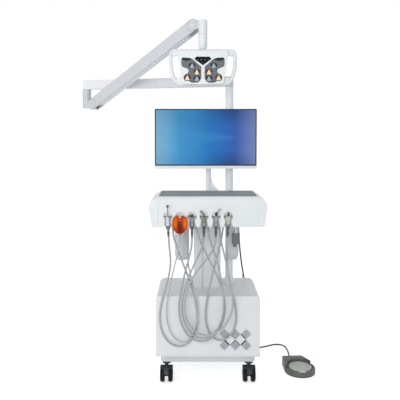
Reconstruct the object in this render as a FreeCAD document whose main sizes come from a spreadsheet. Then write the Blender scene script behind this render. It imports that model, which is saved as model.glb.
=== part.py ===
import FreeCAD, Part
import math
import os

import Sketcher
from FreeCAD import Vector

# Portable dental unit. Millimetres, +Z up, the operator stands on the -Y side.
# The lengths below are the driving dimensions; each becomes a named cell of the
# "Sizes" sheet, and every sketch, feature and placement is bound to those cells.
# The cart's own axis stands at (cart_x, cart_y); the origin is the middle of the
# footprint of the whole unit on the floor.
SIZES = {
    # frame
    "cart_x": 75.6, "cart_y": -49.2,
    # cabinet and chassis
    "cab_wide": 520.0, "cab_front": 170.0, "cab_back": 180.0,
    "cab_low": 135.0, "cab_top": 440.0, "cab_wall": 3.0,
    "cab_edge": 20.0, "cab_round": 38.0, "lip": 3.0, "feet_tall": 70.0, "pump_tall": 118.0,
    "chassis_wide": 476.0, "chassis_low": 97.0,
    "vent_half": 25.5, "vent_x": 86.0, "vent_z": 246.0, "vent_pitch": 51.0, "slat": 3.0,
    # casters
    "caster_x": 208.0, "caster_y": 125.0, "trail": 25.0,
    "wheel_dia": 75.0, "wheel_wide": 22.0, "fork_wide": 18.0, "axle_dia": 8.0,
    "stem_dia": 12.0, "plate_dia": 44.0, "plate_low": 88.0, "run_gap": 0.05, "gap": 0.3,
    "brake_out": 50.5, "brake_turn": 130.0,
    # column and delivery head
    "column_wide": 141.0, "column_front": 10.0, "column_back": 76.0, "groove": 8.0,
    "tray_wide": 576.0, "tray_front": 215.0, "tray_back": 85.0,
    "tray_top": 943.0, "tray_low": 794.0, "tray_floor": 852.0,
    "end_wide": 45.0, "mat_thick": 3.0, "skirt": 12.0,
    "slot_first": 196.4, "slot_pitch": 58.8, "slot_round": 21.5, "slot_neck": 15.0, "slot_top": 868.0,
    "stub_y": 147.0, "stub_z": 828.0, "cord_x": 166.0, "cord_y": 62.0, "cord_z": 834.0,
    # instruments: each leans forward in its cup
    "tail_y": 180.0, "tail_z": 765.0, "lean_angle": 30.0,
    "body_dia": 17.0, "cup_dia": 25.0, "cup_from": 24.0, "cup_deep": 22.0,
    # bottles under the delivery head
    "bottle_x": 134.0, "bottle_y": 30.0, "bottle_dia": 75.0, "bottle_low": 580.0,
    "jar_x": 133.0, "jar_y": 25.0, "jar_dia": 74.0, "jar_low": 584.0, "neck_dia": 40.0,
    "filter_low": 676.0, "filter_tall": 52.0,
    # lamp pole and arms
    "pole_x": 122.0, "pole_y": 115.0, "pole_dia": 42.0, "pole_top": 1503.0, "spigot": 25.0,
    "arm_long": 843.0, "arm_turn": 165.2, "arm_wide": 44.0, "arm_tall": 54.0,
    "elbow_dia": 48.0, "elbow_low": 1397.0,
    "lug": 60.0, "lift_z": 1418.0, "spring_turn": -34.2, "rise_angle": 28.0, "spring_long": 790.0,
    "spring_wide": 48.0, "spring_tall": 64.0, "cheek": 5.0, "pin_dia": 12.0,
    "knuckle_out": 50.0, "knuckle_dia": 44.0, "knuckle_under": 46.88, "knuckle_over": 23.12,
    # lamp head
    "stem_long": 102.0, "head_wide": 334.0, "head_under": 154.0, "head_over": 28.0, "head_deep": 62.0,
    "handle_dia": 18.0, "lens_dia": 30.0,
    # monitor
    "screen_wide": 540.0, "screen_low": 1063.0, "screen_top": 1380.0, "screen_x": 7.5,
    "screen_front": 40.0, "screen_deep": 30.0, "chin": 15.5, "border": 6.0, "foot_border": 7.0, "post_x": 8.0, "post_y": 112.0, "post_dia": 29.0,
    # foot control
    "pedal_x": 488.0, "pedal_y": 54.0, "pedal_turn": 7.0, "pedal_dia": 158.0, "pedal_tall": 34.0, "disc_dia": 125.0,
    # hoses and cables
    "hose_dia": 9.5, "thin_hose_dia": 7.0, "cable_dia": 8.0,
}


class Size:
    """A number together with the sheet formula that gives it."""

    def __init__(self, value, text):
        self.value = value
        self.text = text

    def __add__(self, other):
        return Size(self.value + num(other), f"({self.text} + {text(other)})")

    def __radd__(self, other):
        return Size(num(other) + self.value, f"({text(other)} + {self.text})")

    def __sub__(self, other):
        return Size(self.value - num(other), f"({self.text} - {text(other)})")

    def __rsub__(self, other):
        return Size(num(other) - self.value, f"({text(other)} - {self.text})")

    def __mul__(self, other):
        return Size(self.value * num(other), f"({self.text} * {text(other)})")

    __rmul__ = __mul__

    def __truediv__(self, other):
        return Size(self.value / num(other), f"({self.text} / {text(other)})")

    def __neg__(self):
        return Size(-self.value, f"(0 - {self.text})")


def num(q):
    return q.value if isinstance(q, Size) else float(q)


def text(q):
    if isinstance(q, Size):
        return q.text
    return f"{q:.6f}" if q >= 0 else f"(0 - {-q:.6f})"


def cosine(q):
    return Size(math.cos(math.radians(num(q))), f"cos({text(q)})")


def sine(q):
    return Size(math.sin(math.radians(num(q))), f"sin({text(q)})")


class Named:
    """The sheet's cells by name: at.cab_wide is a Size."""

    def __getattr__(self, name):
        return Size(SIZES[name], "Sizes." + name)


at = Named()
doc = FreeCAD.newDocument("DentalUnit")
sheet = doc.addObject("Spreadsheet::Sheet", "Sizes")
for row, (alias, value) in enumerate(SIZES.items(), 1):
    sheet.set(f"A{row}", alias)
    sheet.set(f"B{row}", str(value))
    sheet.setAlias(f"B{row}", alias)
doc.recompute()
parts = []


def bind(thing, path, q):
    thing.setExpression(path, text(q))


def new_body(label):
    body = doc.addObject("PartDesign::Body", label)
    body.Label = label
    parts.append(body)
    return body


def seat(thing, x, y, z, yaw=0, pitch=0, roll=0):
    """Place a sub-part; x and y are measured from the cart's axis."""
    place = f"vector({text(at.cart_x + x)}; {text(at.cart_y + y)}; {text(z)})"
    turned = f"rotation({text(yaw)}; {text(pitch)}; {text(roll)})"
    thing.setExpression("Placement", f"placement({place}; {turned})")
    return thing


def drawing(body, plane):
    drawn = body.newObject("Sketcher::SketchObject", "Sketch")
    drawn.AttachmentSupport = [(next(o for o in body.Origin.OriginFeatures if o.Role == plane), "")]
    drawn.MapMode = "FlatFace"
    return drawn


def sketch(body, plane, away=0):
    """A sketch on an origin plane, or this far away from it along its normal."""
    drawn = drawing(body, plane)
    bind(drawn, ".AttachmentOffset.Base.z", away)
    return drawn


def tilted(body, y, z, pitch, spin=0):
    """A sketch through (0, y, z) whose normal leans by the pitch from +Z towards -Y, all spun about Z."""
    drawn = drawing(body, "XY_Plane")
    spot = f"vector({text(-1 * y * sine(spin))}; {text(y * cosine(spin))}; {text(z)})"
    drawn.setExpression("AttachmentOffset", f"placement({spot}; rotation({text(spin)}; 0; {text(pitch)}))")
    return drawn


def arc_between(start, end, radius):
    """The arc from start to end, turning left for a positive radius."""
    chord = end - start
    middle = (start + end) / 2
    left = Vector(-chord.y, chord.x, 0).normalize()
    off = math.sqrt(max(radius * radius - chord.Length ** 2 / 4, 0))
    centre = middle + left * (off if radius > 0 else -off)
    first, last = (start, end) if radius > 0 else (end, start)
    angles = [math.atan2(p.y - centre.y, p.x - centre.x) for p in (first, last)]
    circle = Part.Circle(centre, Vector(0, 0, 1), abs(radius))
    return Part.ArcOfCircle(circle, angles[0], angles[1])


def outline(drawn, corners):
    """A closed outline. A corner is (x, y), or (x, y, r) where an arc of radius r leads up to it."""
    places = [Vector(num(c[0]), num(c[1]), 0) for c in corners]
    ends = []
    for i, corner in enumerate(corners):
        if len(corner) > 2:
            shape = arc_between(places[i - 1], places[i], num(corner[2]))
            side = (1, 2) if num(corner[2]) > 0 else (2, 1)
        else:
            shape = Part.LineSegment(places[i - 1], places[i])
            side = (1, 2)
        ends.append((drawn.addGeometry(shape), side[0], side[1]))
    for i, corner in enumerate(corners):
        here = ends[i]
        after = ends[(i + 1) % len(ends)]
        drawn.addConstraint(Sketcher.Constraint("Coincident", here[0], here[2], after[0], after[1]))
        for kind, q in (("DistanceX", corner[0]), ("DistanceY", corner[1])):
            made = drawn.addConstraint(Sketcher.Constraint(kind, -1, 1, here[0], here[2], num(q)))
            bind(drawn, f"Constraints[{made}]", q)
        if len(corner) > 2:
            radius = corner[2] if num(corner[2]) > 0 else -1 * corner[2]
            made = drawn.addConstraint(Sketcher.Constraint("Radius", here[0], num(radius)))
            bind(drawn, f"Constraints[{made}]", radius)
    return drawn


def circle(drawn, x, y, radius):
    made = drawn.addGeometry(Part.Circle(Vector(num(x), num(y), 0), Vector(0, 0, 1), num(radius)))
    for kind, q in (("DistanceX", x), ("DistanceY", y)):
        rule = drawn.addConstraint(Sketcher.Constraint(kind, -1, 1, made, 3, num(q)))
        bind(drawn, f"Constraints[{rule}]", q)
    rule = drawn.addConstraint(Sketcher.Constraint("Radius", made, num(radius)))
    bind(drawn, f"Constraints[{rule}]", radius)
    return drawn


def rectangle(left, low, right, high, r=None):
    """Corners of a rectangle, with rounded corners where r is given."""
    if r is None:
        return [(left, low), (right, low), (right, high), (left, high)]
    return [
        (left + r, low, r), (right - r, low), (right, low + r, r), (right, high - r),
        (right - r, high, r), (left + r, high), (left, high - r, r), (left, low + r),
    ]


def mirrored(chain):
    """The chain of corners seen in the axis x = 0, walked the other way."""
    out = []
    for i in range(len(chain) - 1, -1, -1):
        curve = tuple(chain[(i + 1) % len(chain)][2:])
        out.append((-1 * chain[i][0], chain[i][1]) + curve)
    return out


def stadium(length, r):
    """A bar from x = 0 to a length, with round ends of radius r beyond."""
    return [
        (0, -r, r), (length, -r), (length + r, 0, r), (length, r, r), (0, r), (-r, 0, r),
    ]


def pad(body, drawn, length, back=False, both=False):
    made = body.newObject("PartDesign::Pad", "Pad")
    made.Profile = drawn
    bind(made, "Length", length)
    made.Reversed = back
    made.Midplane = both
    return made


def cut(body, drawn, length, along=False, both=False):
    """A pocket against the sketch's normal, or along it; it must take material away."""
    doc.recompute()
    before = body.Shape.Volume
    made = body.newObject("PartDesign::Pocket", "Pocket")
    made.Profile = drawn
    bind(made, "Length", length)
    made.Reversed = along
    made.Midplane = both
    doc.recompute()
    if not body.Shape.Volume < before - 0.01:
        raise ValueError(f"{body.Label}: a pocket cuts nothing")
    return made


def repeat(body, feature, drawn, count, span, axis="H_Axis"):
    """Copies of a pocket along the sketch's own axis, over the whole span."""
    made = body.newObject("PartDesign::LinearPattern", "Row")
    made.Originals = [feature]
    made.Direction = (drawn, [axis])
    made.Reversed = num(span) < 0
    bind(made, "Length", span if num(span) > 0 else -1 * span)
    made.Occurrences = count
    body.Tip = made
    return made


def turned(body, drawn, axis="V_Axis", groove=False):
    made = body.newObject("PartDesign::Groove" if groove else "PartDesign::Revolution", "Turned")
    made.Profile = drawn
    made.ReferenceAxis = (drawn, [axis])
    made.Angle = 360
    return made


def edges(body, chosen):
    doc.recompute()
    return [f"Edge{i}" for i, e in enumerate(body.Tip.Shape.Edges, 1) if chosen(e)]


def fillet(body, radius, chosen, kind="Fillet"):
    names = edges(body, chosen)
    if not names:
        raise ValueError(f"{body.Label}: no edge to round")
    made = body.newObject("PartDesign::" + kind, kind)
    made.Base = (made.BaseFeature, names)
    bind(made, "Radius" if kind == "Fillet" else "Size", radius)
    return made


def along(axis, **at_place):
    """Chooses straight edges along an axis (0, 1 or 2), at the places given by x, y or z."""
    def chosen(edge):
        if len(edge.Vertexes) != 2:
            return False
        a, b = (v.Point for v in edge.Vertexes)
        span = [abs(a[i] - b[i]) for i in range(3)]
        if span[axis] < 0.5 or sum(span) - span[axis] > 1e-4:
            return False
        return all(abs(a["xyz".index(k)] - num(q)) < 0.01 for k, q in at_place.items())
    return chosen


def rim(**at_place):
    """Chooses every edge that lies in the plane x, y or z = a value."""
    def chosen(edge):
        box = edge.BoundBox
        low = {"x": box.XMin, "y": box.YMin, "z": box.ZMin}
        high = {"x": box.XMax, "y": box.YMax, "z": box.ZMax}
        return all(abs(low[k] - num(q)) < 0.01 and abs(high[k] - num(q)) < 0.01 for k, q in at_place.items())
    return chosen


# ---------------------------------------------------------------- chassis and casters

def caster_places():
    return [(x, y) for y in (-at.caster_y, at.caster_y + 10) for x in (-at.caster_x, at.caster_x)]


def base_chassis():
    body = new_body("base_chassis")
    half = at.chassis_wide / 2
    plan = rectangle(-half, 22 - at.cab_front, half, at.cab_back - 22, 20)
    pad(body, outline(sketch(body, "XY_Plane", at.chassis_low), plan), at.cab_low - at.chassis_low)
    fillet(body, 4, rim(z=at.chassis_low))
    stems = sketch(body, "XY_Plane", at.chassis_low)
    for x, y in caster_places():
        circle(stems, x, y, at.stem_dia / 2 + at.run_gap)
    cut(body, stems, 32, along=True)
    seat(body, 0, 0, 0)


def about_axle(radius, angle):
    """A point round the wheel's axle, seen along X with +Y to the right."""
    return (radius * cosine(angle) - at.trail, radius * sine(angle) + at.wheel_dia / 2)


def band(inner, outer, first, last):
    return [
        about_axle(outer, first), about_axle(outer, last) + (outer,),
        about_axle(inner, last), about_axle(inner, first) + (-1 * inner,),
    ]


def caster_fork(name, x, y, yaw, braked):
    body = new_body("caster_fork_" + name)
    axle = at.wheel_dia / 2
    web = [
        (-at.trail - 12, axle), (-at.trail, axle - 12, 12), (12 - at.trail, axle, 12),
        (16, at.plate_low + 1), (-24, at.plate_low + 1), (-at.trail - 20, axle + 36),
    ]
    pad(body, outline(sketch(body, "YZ_Plane"), web), at.fork_wide, both=True)
    top = at.chassis_low - at.gap
    stem = [
        (0, at.plate_low), (at.plate_dia / 2, at.plate_low), (at.plate_dia / 2, top),
        (at.stem_dia / 2, top), (at.stem_dia / 2, top + 28), (0, top + 28),
    ]
    turned(body, outline(sketch(body, "XZ_Plane"), stem))
    inner = axle + 3.5
    hood = outline(sketch(body, "YZ_Plane"), band(inner, inner + 3, 25, 126))
    pad(body, hood, at.fork_wide + 2 * at.wheel_wide, both=True)
    if braked:
        ear = [
            about_axle(inner + 1, 125), about_axle(inner + 1, 114), about_axle(at.brake_out + 3.5, 125),
            about_axle(at.brake_out + 3.5, 134), about_axle(at.brake_out - 3.5, 134),
        ]
        pad(body, outline(sketch(body, "YZ_Plane"), ear), 8, both=True)
        pin = about_axle(at.brake_out, at.brake_turn)
        cut(body, circle(sketch(body, "YZ_Plane"), *pin, 1.5 + at.run_gap), 20, both=True)
    bore = circle(sketch(body, "YZ_Plane"), -at.trail, axle, at.axle_dia / 2 + at.run_gap)
    cut(body, bore, at.fork_wide * 3, both=True)
    seat(body, x, y, 0, yaw=yaw)


def caster_brake(name, x, y):
    body = new_body("caster_brake_" + name)
    pin = about_axle(at.brake_out, at.brake_turn)
    pad(body, circle(sketch(body, "YZ_Plane"), *pin, 4), 24, both=True)
    lever = band(at.brake_out - 2, at.brake_out + 2, at.brake_turn, at.brake_turn + 28)
    pad(body, outline(sketch(body, "YZ_Plane"), lever), 24, both=True)
    cut(body, circle(sketch(body, "YZ_Plane"), *pin, 7), 8.8, both=True)
    pad(body, circle(sketch(body, "YZ_Plane"), *pin, 1.5), 22, both=True)
    seat(body, x, y, 0)


def caster_wheels(name, x, y, yaw):
    """Two wheels on the axle that joins them, turned about X."""
    body = new_body("caster_wheels_" + name)
    inner = at.fork_wide / 2 + 0.4
    outer = inner + at.wheel_wide
    tread = at.wheel_dia / 2
    right = [
        (inner, at.axle_dia / 2), (inner, tread - 3), (inner + 3, tread), (outer - 7, tread),
        (outer - 2, tread - 2), (outer, tread - 7), (outer, 19), (outer - 4, 17), (outer - 4, 8), (outer - 1, 6), (outer - 1, 0),
    ]
    turned(body, outline(sketch(body, "XZ_Plane"), right + mirrored(right)), "H_Axis")
    seat(body, x, y + (-at.trail if yaw == 0 else at.trail), at.wheel_dia / 2)


def casters():
    for name, (x, y) in zip(("front_left", "front_right", "rear_left", "rear_right"), caster_places()):
        front = name.startswith("front")
        yaw = 0 if front else 180
        caster_fork(name, x, y, yaw, front)
        caster_wheels(name, x, y, yaw)
        if front:
            caster_brake(name, x, y)


# ---------------------------------------------------------------- cabinet

def diamond(x, z, half):
    return [(x, z - half), (x + half, z), (x, z + half), (x - half, z)]


def vent_centres():
    rows = (at.vent_z, at.vent_z - at.vent_pitch)
    return [(at.vent_x + column * at.vent_pitch, z) for z in rows for column in range(3)]


def cabinet_shell():
    body = new_body("cabinet_shell")
    half = at.cab_wide / 2
    edge = at.cab_edge
    front = [(half, at.cab_low), (half, at.cab_top - edge), (half - edge, at.cab_top, edge)]
    face = outline(sketch(body, "XZ_Plane", at.cab_front), front + mirrored(front))
    pad(body, face, at.cab_front + at.cab_back, back=True)
    fillet(body, 5, rim(y=-at.cab_front))
    foot = rectangle(-half - at.lip, -at.cab_front - at.lip, half + at.lip, at.cab_back - at.cab_round, 6)
    pad(body, outline(sketch(body, "XY_Plane", at.cab_low), foot), 7)
    for side in (-1, 1):
        corner = [
            (side * (half + 9), at.cab_back - at.cab_round), (side * (half + 9), at.cab_back + 9),
            (side * (half - at.cab_round), at.cab_back + 9), (side * (half - at.cab_round), at.cab_back),
            (side * half, at.cab_back - at.cab_round, -side * at.cab_round),
        ]
        cut(body, outline(sketch(body, "XY_Plane", at.cab_top + 1), corner), at.cab_top - at.cab_low + 9)
    wall = at.cab_wall
    room = rectangle(8 - half, wall - at.cab_front, half - 8, at.cab_back - wall, 32)
    cut(body, outline(sketch(body, "XY_Plane", at.cab_low + wall), room), at.cab_top - at.cab_low - 3 * wall, along=True)
    vents = sketch(body, "XZ_Plane", at.cab_front)
    for x, z in vent_centres():
        outline(vents, diamond(x, z, at.vent_half - 0.8))
    cut(body, vents, wall + 1)
    door = rectangle(-200, at.cab_low + 25, 200, at.cab_top - 35, 8)
    cut(body, outline(sketch(body, "XZ_Plane", -at.cab_back), door), wall + 1, along=True)
    pad(body, circle(sketch(body, "XY_Plane", at.cab_top - 4), 205, 147, 9), 19)
    seat(body, 0, 0, 0)


def vent_grilles():
    """Six louvred diamonds that fill the openings of the front wall, on one carrier sheet."""
    body = new_body("vent_grilles")
    half = at.vent_half - 1.1
    inside = at.cab_front - at.cab_wall
    last = at.vent_x + 2 * at.vent_pitch
    low = at.vent_z - at.vent_pitch
    sheet_plan = rectangle(at.vent_x - 28, low - 28, last + 28, at.vent_z + 28, 4)
    pad(body, outline(sketch(body, "XZ_Plane", inside - 1.5), sheet_plan), 1.5)
    face = sketch(body, "XZ_Plane", inside)
    for x, z in vent_centres():
        outline(face, diamond(x, z, half))
    pad(body, face, at.cab_wall - 0.5)
    for row in (at.vent_z, low):
        slots = sketch(body, "XZ_Plane", at.cab_front)
        for step in (-2, -1, 0, 1, 2):
            reach = half - at.slat * 2 - 2 * abs(step)
            middle = (at.vent_x + step * at.slat * 1.35, row + step * at.slat * 1.35)
            outline(slots, slanted(middle, reach / 2 + 2, at.slat / 3))
        cutter = cut(body, slots, 9)
        repeat(body, cutter, slots, 3, 2 * at.vent_pitch)
    seat(body, 0, 0, 0)


def slanted(middle, reach, half):
    """A slot that falls from upper left to lower right, at 45 degrees."""
    x, z = middle
    return [
        (x - reach - half, z + reach - half), (x + reach - half, z - reach - half),
        (x + reach + half, z - reach + half), (x - reach + half, z + reach + half),
    ]


def back_panel():
    body = new_body("back_panel")
    low = at.cab_low + 14
    plan = rectangle(-214, low, 214, at.cab_top - 24, 12)
    pad(body, outline(sketch(body, "XZ_Plane", -at.cab_back), plan), 2.5, back=True)
    slots = sketch(body, "XZ_Plane", -at.cab_back)
    for side in (-1, 1):
        outline(slots, rectangle(side * 105 - 60, at.cab_top - 70, side * 105 + 60, at.cab_top - 65, 2.4))
    cutter = cut(body, slots, 9)
    repeat(body, cutter, slots, 8, -12 * 7, "V_Axis")
    pad(body, circle(sketch(body, "XZ_Plane", -at.cab_back), 190, 160, 8), 20, back=True)
    inlet = rectangle(-173.7, at.cab_low + 30, -126.3, at.cab_low + 58)
    cut(body, outline(sketch(body, "XZ_Plane", -at.cab_back), inlet), 9)
    seat(body, 0, 0, 0)


def mains_inlet():
    """Appliance inlet with three blades; its lead is not fitted."""
    body = new_body("mains_inlet")
    low = at.cab_low
    back = -at.cab_back - 2.5
    pad(body, outline(sketch(body, "XZ_Plane", back), rectangle(-179, low + 26, -121, low + 62, 3)), 2.5, back=True)
    pad(body, outline(sketch(body, "XZ_Plane", back), rectangle(-173, low + 31, -127, low + 57)), 22)
    cut(body, outline(sketch(body, "XZ_Plane", back - 2.5), rectangle(-168, low + 34, -132, low + 54, 4)), 19,
        along=True)
    blades = sketch(body, "XZ_Plane", back + 18)
    for x, z in ((-159, 41), (-141, 41), (-150, 48)):
        outline(blades, rectangle(x - 1, low + z - 2.5, x + 1, low + z + 2.5))
    pad(body, blades, 14, back=True)
    seat(body, 0, 0, 0)


def compressor():
    """Oil-free compressor, a finned motor between two pump heads, and its receiver with domed ends."""
    body = new_body("compressor")
    fins = []
    for fin in range(9):
        x = -60 + fin * 15
        fins += [(x, 46), (x, 54), (x + 5, 54), (x + 5, 46)]
    profile = [(-66, 0), (-66, 46)] + fins + [(71, 46), (71, 0)]
    turned(body, outline(sketch(body, "XZ_Plane"), profile), "H_Axis")
    for side in (-1, 1):
        head = rectangle(side * 93 - 28, -27, side * 93 + 28, 27, 9)
        pad(body, outline(sketch(body, "XY_Plane", -34), head), at.pump_tall)
    pad(body, outline(sketch(body, "XY_Plane", -at.feet_tall), rectangle(-120, -55, 130, 205, 10)), 8)
    for side in (-1, 1):
        pad(body, outline(sketch(body, "XY_Plane", -66), rectangle(side * 45 - 8, -40, side * 45 + 8, 40)), 40)
    tank = [(-150, 0), (-150, 28), (-138, 46), (-116, 55), (156, 55), (178, 46), (190, 28), (190, 0)]
    turned(body, outline(sketch(body, "XZ_Plane", -160), tank), "H_Axis")
    for x in (-70, 110):
        pad(body, outline(sketch(body, "XY_Plane", -66), rectangle(x - 10, 115, x + 10, 198)), 46)
    seat(body, -20, -70, at.cab_low + at.cab_wall + at.feet_tall)


def column():
    body = new_body("column")
    half = at.column_wide / 2
    plan = rectangle(-half, -at.column_front, half, at.column_back, 16)
    pad(body, outline(sketch(body, "XY_Plane", at.cab_top), plan), at.tray_floor - 4 - at.cab_top)
    slot = rectangle(-26, -at.column_front - 3, -20, at.groove - at.column_front)
    cut(body, outline(sketch(body, "XY_Plane", at.tray_floor), slot), 500)
    seat(body, 0, 0, 0)


# ---------------------------------------------------------------- delivery head

def slots():
    return [i * at.slot_pitch - at.slot_first for i in range(6)]


def arch(x):
    """The opening that an instrument leans through: a round top, a neck and a flared foot."""
    neck = at.slot_neck
    turn = at.slot_top - at.slot_round
    waist = turn - 15.4
    low = at.tray_low - 8
    return [
        (x + neck + 9, low), (x + neck + 9, at.tray_low), (x + neck, waist - 14), (x + neck, waist),
        (x, at.slot_top, at.slot_round), (x - neck, waist, at.slot_round), (x - neck, waist - 14),
        (x - neck - 9, at.tray_low), (x - neck - 9, low),
    ]


def tray_body():
    body = new_body("tray_body")
    half = at.tray_wide / 2
    right = [
        (half - 24, at.tray_low), (half - 10, at.tray_low + 14, 16), (half, at.tray_top - 57),
        (half - 12, at.tray_top - 18, 45), (half - 44, at.tray_top),
    ]
    face = outline(sketch(body, "XZ_Plane", at.tray_front), right + mirrored(right))
    pad(body, face, at.tray_front + at.tray_back, back=True)
    fillet(body, 12, along(0, y=-at.tray_front, z=at.tray_top), "Chamfer")
    fillet(body, 8, along(0, y=at.tray_back, z=at.tray_top))
    room = rectangle(26 - half, at.skirt - at.tray_front, half - 26, at.tray_back - 8, 10)
    cut(body, outline(sketch(body, "XY_Plane", at.tray_low), room), at.tray_top - 10 - at.tray_low, along=True)
    for x in slots():
        cut(body, outline(sketch(body, "XZ_Plane", at.tray_front), arch(x)), at.skirt + 2)
    mat = rectangle(at.end_wide - half, 14 - at.tray_front, half - at.end_wide, at.tray_back - 10, 6)
    cut(body, outline(sketch(body, "XY_Plane", at.tray_top), mat), at.mat_thick)
    seams = sketch(body, "XZ_Plane", at.tray_front)
    for side in (-1, 1):
        x = side * (half - at.end_wide)
        outline(seams, rectangle(x - 0.6, at.tray_low - 1, x + 0.6, at.tray_top + 1))
    cut(body, seams, 1)
    seat(body, 0, 0, 0)


def tray_mat():
    body = new_body("tray_mat")
    half = at.tray_wide / 2 - at.end_wide
    plan = rectangle(-half, 14 - at.tray_front, half, at.tray_back - 10, 6)
    pad(body, outline(sketch(body, "XY_Plane", at.tray_top - at.mat_thick), plan), at.mat_thick)
    seat(body, 0, 0, 0)


def tray_underside():
    """Cover plate with the six hose outlets and a riser that closes the arches' tops."""
    body = new_body("tray_underside")
    half = at.tray_wide / 2 - 26
    low = at.tray_floor - 4
    plan = rectangle(-half, at.skirt - at.tray_front, half, at.tray_back - 8, 10)
    pad(body, outline(sketch(body, "XY_Plane", low), plan), 4)
    stubs = sketch(body, "XY_Plane", at.stub_z)
    for x, y in stub_places():
        circle(stubs, x, y, 7.5)
    pad(body, stubs, low - at.stub_z)
    pad(body, circle(sketch(body, "XY_Plane", at.cord_z), at.cord_x, at.cord_y, 8), low - at.cord_z)
    riser = rectangle(-at.slot_first - 24, at.skirt - at.tray_front, 5 * at.slot_pitch - at.slot_first + 24,
                      at.skirt + 3 - at.tray_front)
    pad(body, outline(sketch(body, "XY_Plane", low), riser), at.slot_top + 4 - low)
    seat(body, 0, 0, 0)


def stub_places():
    """The outlet of each hose, beside and behind its own instrument."""
    return [(x + (20 if i < 5 else -20), -at.stub_y + (0 if i < 5 else 16)) for i, x in enumerate(slots())]


def leaning(body, reach):
    """A sketch square to the lean of the instruments, this far up from their tails."""
    y, z = lean_point(reach, 0)
    return tilted(body, y, z, at.lean_angle)


def lean_point(reach, off):
    """(y, z) at a distance up the leaning axis and off it towards the back."""
    y = off * cosine(at.lean_angle) - at.tail_y - reach * sine(at.lean_angle)
    z = at.tail_z + reach * cosine(at.lean_angle) + off * sine(at.lean_angle)
    return (y, z)


def holder_rail():
    """Six slotted cups on webs before one back plate; the instruments stand in them."""
    body = new_body("holder_rail")
    low = at.tray_floor - 4
    cups = leaning(body, at.cup_from)
    for x in slots():
        circle(cups, x, 0, at.cup_dia / 2)
    pad(body, cups, at.cup_deep)
    wall = at.cup_dia / 2 - 1.5
    foot = lean_point(at.cup_from, wall)
    head = lean_point(at.cup_from + at.cup_deep, wall)
    web = [
        head, foot, (foot[0] + 4, foot[1]), (foot[0] + 4, low), (head[0] + 2, low), (head[0] + 2, head[1]),
    ]
    for x in slots():
        pad(body, outline(sketch(body, "YZ_Plane", x - 5), web), 10)
    left, right = -at.slot_first - 20, 5 * at.slot_pitch - at.slot_first + 20
    rail = rectangle(left, head[0], right, foot[0] + 4)
    pad(body, outline(sketch(body, "XY_Plane", low - 7), rail), 7)
    plate = rectangle(left, foot[0] + 1, right, foot[0] + 4)
    pad(body, outline(sketch(body, "XY_Plane", foot[1]), plate), low - foot[1])
    bores = leaning(body, at.cup_from)
    for x in slots():
        circle(bores, x, 0, at.body_dia / 2 + at.gap)
    cut(body, bores, at.cup_deep + 8, along=True)
    mouths = leaning(body, at.cup_from)
    for x in slots():
        outline(mouths, rectangle(x - 6.5, -at.cup_dia, x + 6.5, 0))
    cut(body, mouths, at.cup_deep + 8, along=True)
    seat(body, 0, 0, 0)


# ---------------------------------------------------------------- bottles

def bottle_cap():
    body = new_body("bottle_cap")
    top = at.tray_floor - 4
    profile = [
        (0, top), (34, top), (34, top - 8), (30, top - 12), (30, top - 38),
        (at.neck_dia / 2 + 0.1, top - 38), (at.neck_dia / 2 + 0.1, top - 14), (0, top - 14),
    ]
    turned(body, outline(sketch(body, "XZ_Plane"), profile))
    seat(body, -at.bottle_x, at.bottle_y, 0)


def water_bottle():
    """Clear-water bottle, hollow, hung by its neck."""
    body = new_body("water_bottle")
    top = at.tray_floor - 4 - 14 - at.gap
    r = at.bottle_dia / 2
    neck = at.neck_dia / 2
    low = at.bottle_low
    outer = [
        (neck, top), (neck, top - 32), (neck + 3, top - 36), (r, top - 66, -26), (r, low + 34),
        (r - 6, low + 8, -60), (r - 14, low, -10), (0, low),
    ]
    inner = [(0, low + 3), (r - 15, low + 3), (r - 8.5, low + 9, 9), (r - 2.5, low + 35, 60), (r - 2.5, top - 67),
             (neck, top - 39, 24), (neck - 2.5, top - 36), (neck - 2.5, top)]
    turned(body, outline(sketch(body, "XZ_Plane"), outer + inner))
    seat(body, -at.bottle_x, at.bottle_y, 0)


def suction_lid():
    """Lid of the suction jar with its float housing and the filter block beside it."""
    body = new_body("suction_lid")
    top = at.tray_floor - 4
    r = at.jar_dia / 2
    profile = [
        (0, top), (r + 3, top), (r + 3, top - 26), (r + 0.1, top - 26), (r + 0.1, top - 12), (0, top - 12),
    ]
    turned(body, outline(sketch(body, "XZ_Plane"), profile))
    front = -r - 18
    pad(body, outline(sketch(body, "XY_Plane", top - 10), rectangle(6, front, 26, -20)), 10)
    block = rectangle(-4, front - 14, 36, front + 14, 4)
    pad(body, outline(sketch(body, "XY_Plane", at.filter_low), block), at.filter_tall)
    pad(body, circle(sketch(body, "XY_Plane", at.filter_low - 16), 10, front, 9), 20)
    over = at.filter_low + at.filter_tall - 4
    pad(body, circle(sketch(body, "XY_Plane", over), 16, front, 7), top - over)
    seat(body, at.jar_x, at.jar_y, 0)


def suction_jar():
    body = new_body("suction_jar")
    top = at.tray_floor - 4 - 12 - at.gap
    r = at.jar_dia / 2
    low = at.jar_low
    outer = [(r, top), (r, top - 40), (r - 3, top - 46), (r - 3, low + 40), (r - 12, low, -90), (0, low)]
    inner = [(0, low + 3), (r - 14, low + 3), (r - 5.5, low + 41, 90), (r - 5.5, top - 47), (r - 2.5, top - 41),
             (r - 2.5, top)]
    turned(body, outline(sketch(body, "XZ_Plane"), outer + inner))
    seat(body, at.jar_x, at.jar_y, 0)


# ---------------------------------------------------------------- lamp pole and arms

def elbow():
    return (at.pole_x + at.arm_long * cosine(at.arm_turn), at.pole_y + at.arm_long * sine(at.arm_turn))


def beyond_elbow(reach):
    """A point at a level distance from the elbow, under the spring arm's line."""
    x, y = elbow()
    return (x + reach * cosine(at.spring_turn), y + reach * sine(at.spring_turn))


def lift_pivot():
    return beyond_elbow(at.lug) + (at.lift_z,)


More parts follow.
